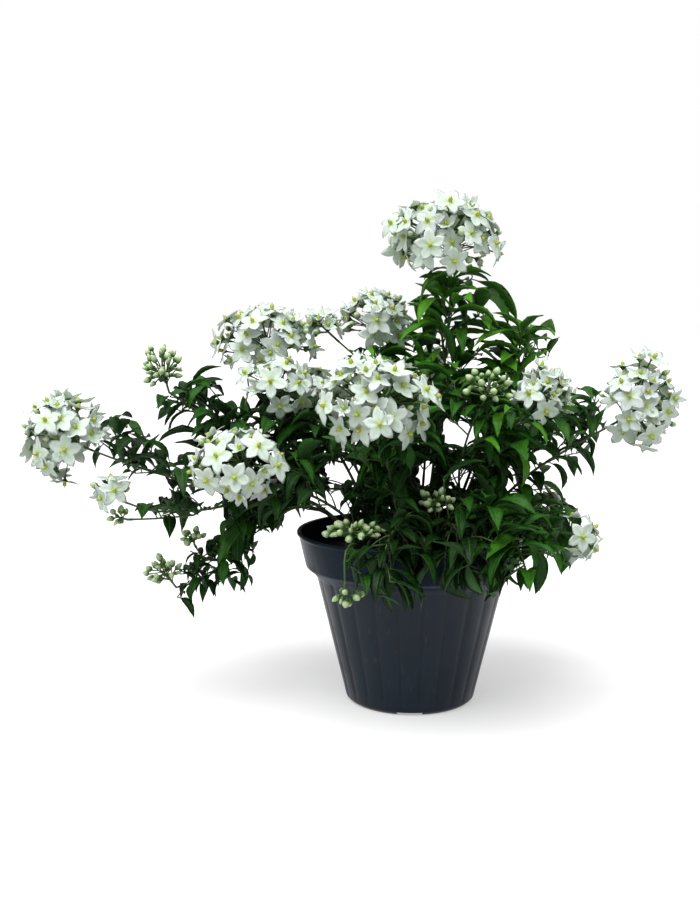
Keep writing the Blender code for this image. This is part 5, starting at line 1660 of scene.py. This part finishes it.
class Graph:
    """Short calls that build the nodes of a material or of the world."""

    def __init__(self, owner, main):
        self.owner = owner
        self.owner.use_nodes = True
        self.tree = owner.node_tree
        self.main = self.tree.nodes[main].inputs

    def put(self, value, socket):
        if isinstance(value, bpy.types.NodeSocket):
            self.tree.links.new(value, socket)
        else:
            socket.default_value = value

    def node(self, kind, inputs=(), **settings):
        found = self.tree.nodes.new("ShaderNode" + kind)
        for key, value in settings.items():
            setattr(found, key, value)
        for key, value in dict(inputs).items():
            self.put(value, found.inputs[key])
        return found

    def math(self, operation, *values, clamp=False):
        return self.node("Math", enumerate(values), operation=operation, use_clamp=clamp).outputs[0]

    def times(self, *values):
        return self.math("MULTIPLY", *values)

    def plus(self, *values, clamp=False):
        return self.math("ADD", *values, clamp=clamp)

    def scaled(self, value, factor, offset):
        return self.math("MULTIPLY_ADD", value, factor, offset)

    def mix(self, share, low, high):
        return self.node("Mix", ((0, share), (6, (*low, 1.0) if isinstance(low, tuple) else low),
                                 (7, (*high, 1.0) if isinstance(high, tuple) else high)),
                         data_type="RGBA").outputs[2]

    def tint(self, colour, share, amount, towards):
        """A colour turned by an amount towards another, where the share is 1."""
        return self.mix(self.times(share, amount), colour, towards)

    def span(self, value, low, high):
        """0 up to low, 1 from high, and a smooth rise between them."""
        return self.node("MapRange", ((0, value), (1, low), (2, high)),
                         interpolation_type="SMOOTHSTEP").outputs[0]

    def fall(self, value, low, high):
        """1 up to low, 0 from high, and a smooth fall between them."""
        return self.math("SUBTRACT", 1.0, self.span(value, low, high))

    def noise(self, scale, detail=2.0, stretch=None):
        where = self.node("TexCoord").outputs["Object"]
        if stretch:
            where = self.node("Mapping", (("Vector", where), ("Scale", stretch))).outputs[0]
        return self.node("TexNoise", (("Vector", where), ("Scale", scale), ("Detail", detail))).outputs[0]

    def places(self):
        """Each point's place as three values, and its tone."""
        place = self.node("Attribute", attribute_name="place").outputs["Vector"]
        parts = self.node("SeparateXYZ", ((0, place),)).outputs
        return parts[0], parts[1], parts[2], self.node("Attribute", attribute_name="tone").outputs["Fac"]

    def finish(self, colour, roughness, height, distance, strength=1.0):
        self.put(colour, self.main["Base Color"])
        self.put(roughness, self.main["Roughness"])
        bump = self.node("Bump", (("Height", height), ("Distance", distance), ("Strength", strength)))
        self.put(bump.outputs[0], self.main["Normal"])
        return self.owner


def surface(name, **plain):
    """The graph of a new material, with plain values for some of its shader's inputs."""
    graph = Graph(bpy.data.materials.new(name), "Principled BSDF")
    for key, value in plain.items():
        graph.main[key.replace("_", " ")].default_value = value
    return graph


def leaf_look():
    g = surface("leaf", Specular_IOR_Level=0.15)
    u, v, under, tone = g.places()
    across = g.math("ABSOLUTE", v)
    midrib = g.fall(across, 0.03, 0.13)
    phase = g.math("PINGPONG", g.math("SUBTRACT", g.times(u, 8.0), g.times(across, 1.1)), 0.5)
    side = g.times(g.fall(phase, 0.0, 0.12), g.fall(across, 0.55, 0.95))
    vein = g.math("MAXIMUM", midrib, g.times(side, 0.45))
    patch = g.math("SUBTRACT", g.noise(160.0, 3.0), 0.5)
    # The tone, with its painted light and shade, youth and a random patch, sets how dark or bright the
    # green is
    youth_and_painted_light = g.plus(tone, g.times(patch, 0.5), clamp=True)
    colour = g.mix(g.span(youth_and_painted_light, 0.0, 0.55), (0.003, 0.018, 0.002), (0.014, 0.080, 0.004))
    colour = g.mix(g.span(youth_and_painted_light, 0.45, 1.0), colour, (0.072, 0.260, 0.010))
    colour = g.tint(colour, vein, 0.3, (0.075, 0.19, 0.035))
    colour = g.tint(colour, under, 0.6, (0.035, 0.095, 0.028))
    colour = g.tint(colour, g.fall(u, 0.06, 0.16), 0.7, (0.06, 0.13, 0.025))
    roughness = g.plus(g.times(g.noise(700.0), 0.16), g.scaled(under, 0.22, 0.33))
    height = g.plus(g.times(vein, -1.0), g.times(g.noise(900.0, 3.0), 0.6))
    return g.finish(colour, roughness, height, 0.0003, 0.7)


def stem_look(name, old, young):
    """Bark that turns from old to young along the age of each place, with streaks along it."""
    g = surface(name)
    age = g.places()[0]
    streak = g.noise(420.0, 3.0, (1.0, 1.0, 0.25))
    share = g.plus(age, g.times(g.math("SUBTRACT", streak, 0.5), 0.5), clamp=True)
    colour = g.tint(g.mix(share, old, young), g.span(g.noise(900.0), 0.62, 0.7), 0.35, (0.16, 0.17, 0.10))
    return g.finish(colour, g.scaled(streak, 0.25, 0.42), streak, 0.0003, 0.6)


def petal_look():
    g = surface("petal", Subsurface_Weight=0.25, **THIN_GLOW)
    t, phi, under, tone = g.places()
    across = g.math("ABSOLUTE", phi)
    ribs = g.math("PINGPONG", g.times(across, 4.0), 0.5)
    patch = g.noise(240.0, 2.0)
    colour = g.mix(g.plus(g.times(patch, 0.4), g.times(tone, 0.3)), (0.66, 0.77, 0.68), (0.47, 0.60, 0.50))
    # Painted highlight: whiter towards the petal tips
    colour = g.tint(colour, g.span(t, 0.6, 1.0), 0.5, (0.80, 0.86, 0.80))
    colour = g.tint(colour, g.fall(across, 0.02, 0.22), 0.2, (0.42, 0.56, 0.36))
    colour = g.tint(colour, g.span(tone, 0.7, 1.0), 0.3, (0.60, 0.58, 0.68))
    colour = g.tint(colour, g.fall(g.scaled(across, 0.12, t), 0.12, 0.52), 0.85, (0.50, 0.64, 0.22))
    colour = g.tint(colour, under, 0.4, (0.42, 0.53, 0.38))
    height = g.plus(g.times(ribs, 0.6), g.times(g.noise(1100.0), 0.5))
    return g.finish(colour, g.scaled(patch, 0.15, 0.42), height, 0.0002, 0.5)


def stamen_look():
    g = surface("stamen")
    u, ridge, _, tone = g.places()
    # Painted shade: darker in the grooves between the stamen cone's ribs
    colour = g.mix(g.span(ridge, -0.9, 0.4), (0.27, 0.33, 0.02), (0.52, 0.55, 0.07))
    colour = g.tint(colour, tone, 0.6, (0.36, 0.50, 0.09))
    colour = g.mix(g.span(u, 0.55, 0.75), colour, (0.42, 0.38, 0.04))
    grain = g.noise(1500.0, 3.0)
    return g.finish(colour, g.scaled(grain, 0.3, 0.4), grain, 0.0002, 0.6)


def bud_look():
    g = surface("bud", Subsurface_Weight=0.2, **THIN_GLOW)
    u, pleat, _, tone = g.places()
    colour = g.mix(g.span(u, 0.2, 0.8), (0.11, 0.27, 0.04), (0.46, 0.60, 0.33))
    colour = g.tint(colour, g.span(tone, 0.6, 1.0), 0.4, (0.54, 0.50, 0.38))
    colour = g.tint(colour, g.span(g.times(pleat, -1.0), 0.5, 1.0), 0.2, (0.55, 0.62, 0.35))
    grain = g.noise(900.0, 3.0)
    return g.finish(colour, g.scaled(grain, 0.2, 0.35), grain, 0.0002, 0.5)


def pot_look():
    g = surface("pot_plastic")
    height, groove, _, _ = g.places()
    g.put(g.scaled(g.span(height, 0.74, 0.80), -0.16, 0.23), g.main["Specular IOR Level"])
    dust = g.span(g.noise(38.0, 5.0), 0.45, 0.8)
    streak = g.noise(90.0, 3.0, (1.0, 1.0, 0.06))
    # Pale vertical dashes: scuffs, partly painted highlight streaks
    scuffs_and_highlight_streaks = g.span(g.noise(330.0, 2.0, (1.0, 1.0, 0.03)), 0.66, 0.78)
    edge = g.math("ABSOLUTE", g.math("SUBTRACT", height, COLLAR_FOOT_HEIGHT / POT_HEIGHT))
    colour = g.mix(g.times(dust, 0.35), (0.005, 0.013, 0.024), (0.014, 0.026, 0.041))
    colour = g.tint(colour, g.span(streak, 0.45, 0.75), 0.3, (0.020, 0.028, 0.042))
    # Painted shade: darker in the grooves between the flutes
    colour = g.tint(colour, g.span(groove, 0.5, 1.0), 0.6, (0.004, 0.006, 0.010))
    # Paler where the scuffs and painted highlight streaks lie
    colour = g.tint(colour, scuffs_and_highlight_streaks, 0.4, (0.050, 0.064, 0.078))
    # Painted highlight: a pale line along the collar's foot
    colour = g.tint(colour, g.fall(edge, 0.003, 0.012), 0.6, (0.075, 0.095, 0.120))
    roughness = g.plus(g.times(dust, 0.18), g.scaled(streak, 0.12, 0.24))
    relief = g.plus(g.times(g.noise(1400.0, 2.0), 0.4), g.times(streak, 1.6))
    return g.finish(colour, roughness, relief, 0.0003, 0.6)


def soil_look():
    g = surface("peat")
    tone = g.places()[3]
    patch = g.noise(350.0, 5.0)
    colour = g.mix(g.span(patch, 0.35, 0.7), (0.010, 0.007, 0.005), (0.050, 0.032, 0.020))
    colour = g.tint(colour, g.span(tone, 0.6, 1.0), 0.6, (0.11, 0.07, 0.04))
    return g.finish(colour, g.scaled(patch, 0.15, 0.8), patch, 0.0012, 1.0)


# Making every piece


def plan_plant():
    """All branches, leaves and heads. First come those of the solids, then the added ones."""
    placed = Placed()
    placed.add(turned(POT_OUTLINE, POT_SEGMENTS))
    placed.add(soil_shape())
    limbs = plan_limbs()
    for limb in limbs:
        placed.add(branch_faces(limb), limb)
    heads = plan_heads(limbs, placed)
    twigs = plan_twigs(limbs, placed)
    leaves = plan_leaves(limbs + twigs, heads, placed)
    twigs = [twig for twig in twigs if twig["end_used"] or twig["used"]]
    plan_more_flowers(heads, placed)
    LEAFY_MASSES.update(MORE_MASSES)
    GAPS.extend(MORE_GAPS)
    shoots = plan_shoots(limbs, placed)
    more_leaves = plan_more_leaves(limbs + twigs + shoots, heads, placed)
    return limbs + twigs + cut_back(shoots, more_leaves), leaves + more_leaves, heads


def youth_of(leaf):
    """How near a leaf is to a growing end, from 0 to 1."""
    points = leaf["branch"]["points"]
    length = route_length(points)
    gone = (leaf["start"] - points[-1]).length
    return leaf["branch"].get("share", 0.0) * 0.4 + 0.6 * max(0.0, 1 - gone / length) if length else 0.5


def place_piece(piece, node):
    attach(piece, "root")
    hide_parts(node)


def make_plant():
    branches, leaves, heads = plan_plant()
    green = leaf_look()
    bark = stem_look("bark", (0.045, 0.036, 0.020), (0.040, 0.095, 0.018))
    stalk = stem_look("stalk", (0.030, 0.055, 0.012), (0.070, 0.150, 0.026))
    looks = [petal_look(), stamen_look(), stalk, bud_look()]
    for number, name in enumerate(STEMS):
        draw = draws("foliage", number)
        piece = Piece()
        for branch in branches:
            if branch["stem"] == name:
                draw_branch(piece, branch, 1)
        for leaf in leaves:
            if leaf["stem"] == name:
                draw_leaf(piece, leaf, 0, draw, youth_of(leaf))
        place_piece(piece.object(f"foliage_{name}", [green, bark]), f"leafy_stem_{name}")
    for number, head in enumerate(heads):
        draw = draws("blooms", number)
        piece = Piece()
        points = head["axis"]["points"]
        points = [points[0] - (points[1] - points[0]).normalized() * MM] + points[1:]
        radii = [HEAD_AXIS_RADIUS * (1.0 - 0.35 * i / len(points)) for i in range(len(points))]
        piece.tube(points, radii, 7, 2, 0.5, (0.2, 0.6))
        for item in head["items"]:
            if item["kind"] == "flower":
                draw_flower(piece, item, (0, 1, 2), draw)
            else:
                draw_bud(piece, item, (3, 2), draw)
        name = head["name"]
        place_piece(piece.object(f"blooms_{name}", looks), name)


def make_stage():
    """A pale floor, darker to bounced and reflected light, a soft sky and key light, and the camera."""
    mesh = bpy.data.meshes.new("floor")
    mesh.from_pydata([(a * FLOOR_REACH, b * FLOOR_REACH, 0) for a, b in SQUARE], [], [(0, 1, 2, 3)])
    floor = linked("floor", mesh)
    g = surface("pale_floor", Roughness=0.9, Emission_Color=(1.0, 1.0, 1.0, 1.0))
    rays = g.node("LightPath").outputs
    bounced = g.math("MAXIMUM", rays["Is Diffuse Ray"], g.times(rays["Is Glossy Ray"], 0.3))
    g.put(g.mix(bounced, (0.62, 0.62, 0.62), (0.40, 0.40, 0.40)), g.main["Base Color"])
    g.put(g.scaled(bounced, -0.4, 0.4), g.main["Emission Strength"])
    mesh.materials.append(g.owner)

    sky = Graph(bpy.data.worlds.new("studio"), "Background")
    bpy.context.scene.world = sky.owner
    upward = sky.node("SeparateXYZ", ((0, sky.node("TexCoord").outputs["Generated"]),)).outputs[2]
    fill = sky.node("MapRange", ((0, upward), (1, -0.1), (2, 1.0), (3, SKY_LOW), (4, SKY_HIGH))).outputs[0]
    seen = sky.node("LightPath").outputs["Is Camera Ray"]
    strength = sky.node("Mix", ((0, seen), (2, fill), (3, 1.0)), data_type="FLOAT").outputs[0]
    sky.put(strength, sky.main["Strength"])
    sky.put((1.0, 1.0, 1.0, 1.0), sky.main["Color"])
    light = bpy.data.lights.new("key", "SUN")
    light.energy, light.angle = KEY_STRENGTH, KEY_WIDTH
    linked("key", light).rotation_euler = KEY_TURN
    bpy.context.scene.view_settings.view_transform = "Standard"

    lens = bpy.data.cameras.new("camera")
    lens.lens = FOCAL_LENGTH
    camera = linked("camera", lens)
    camera.location = VIEWPOINT
    camera.rotation_euler = (math.radians(90 - LOOK_DOWN), 0.0, math.radians(LOOK_LEFT))
    bpy.context.scene.camera = camera


make_plant()
place_piece(make_pot(pot_look()), "pot")
place_piece(make_soil(soil_look()), "soil")
make_stage()
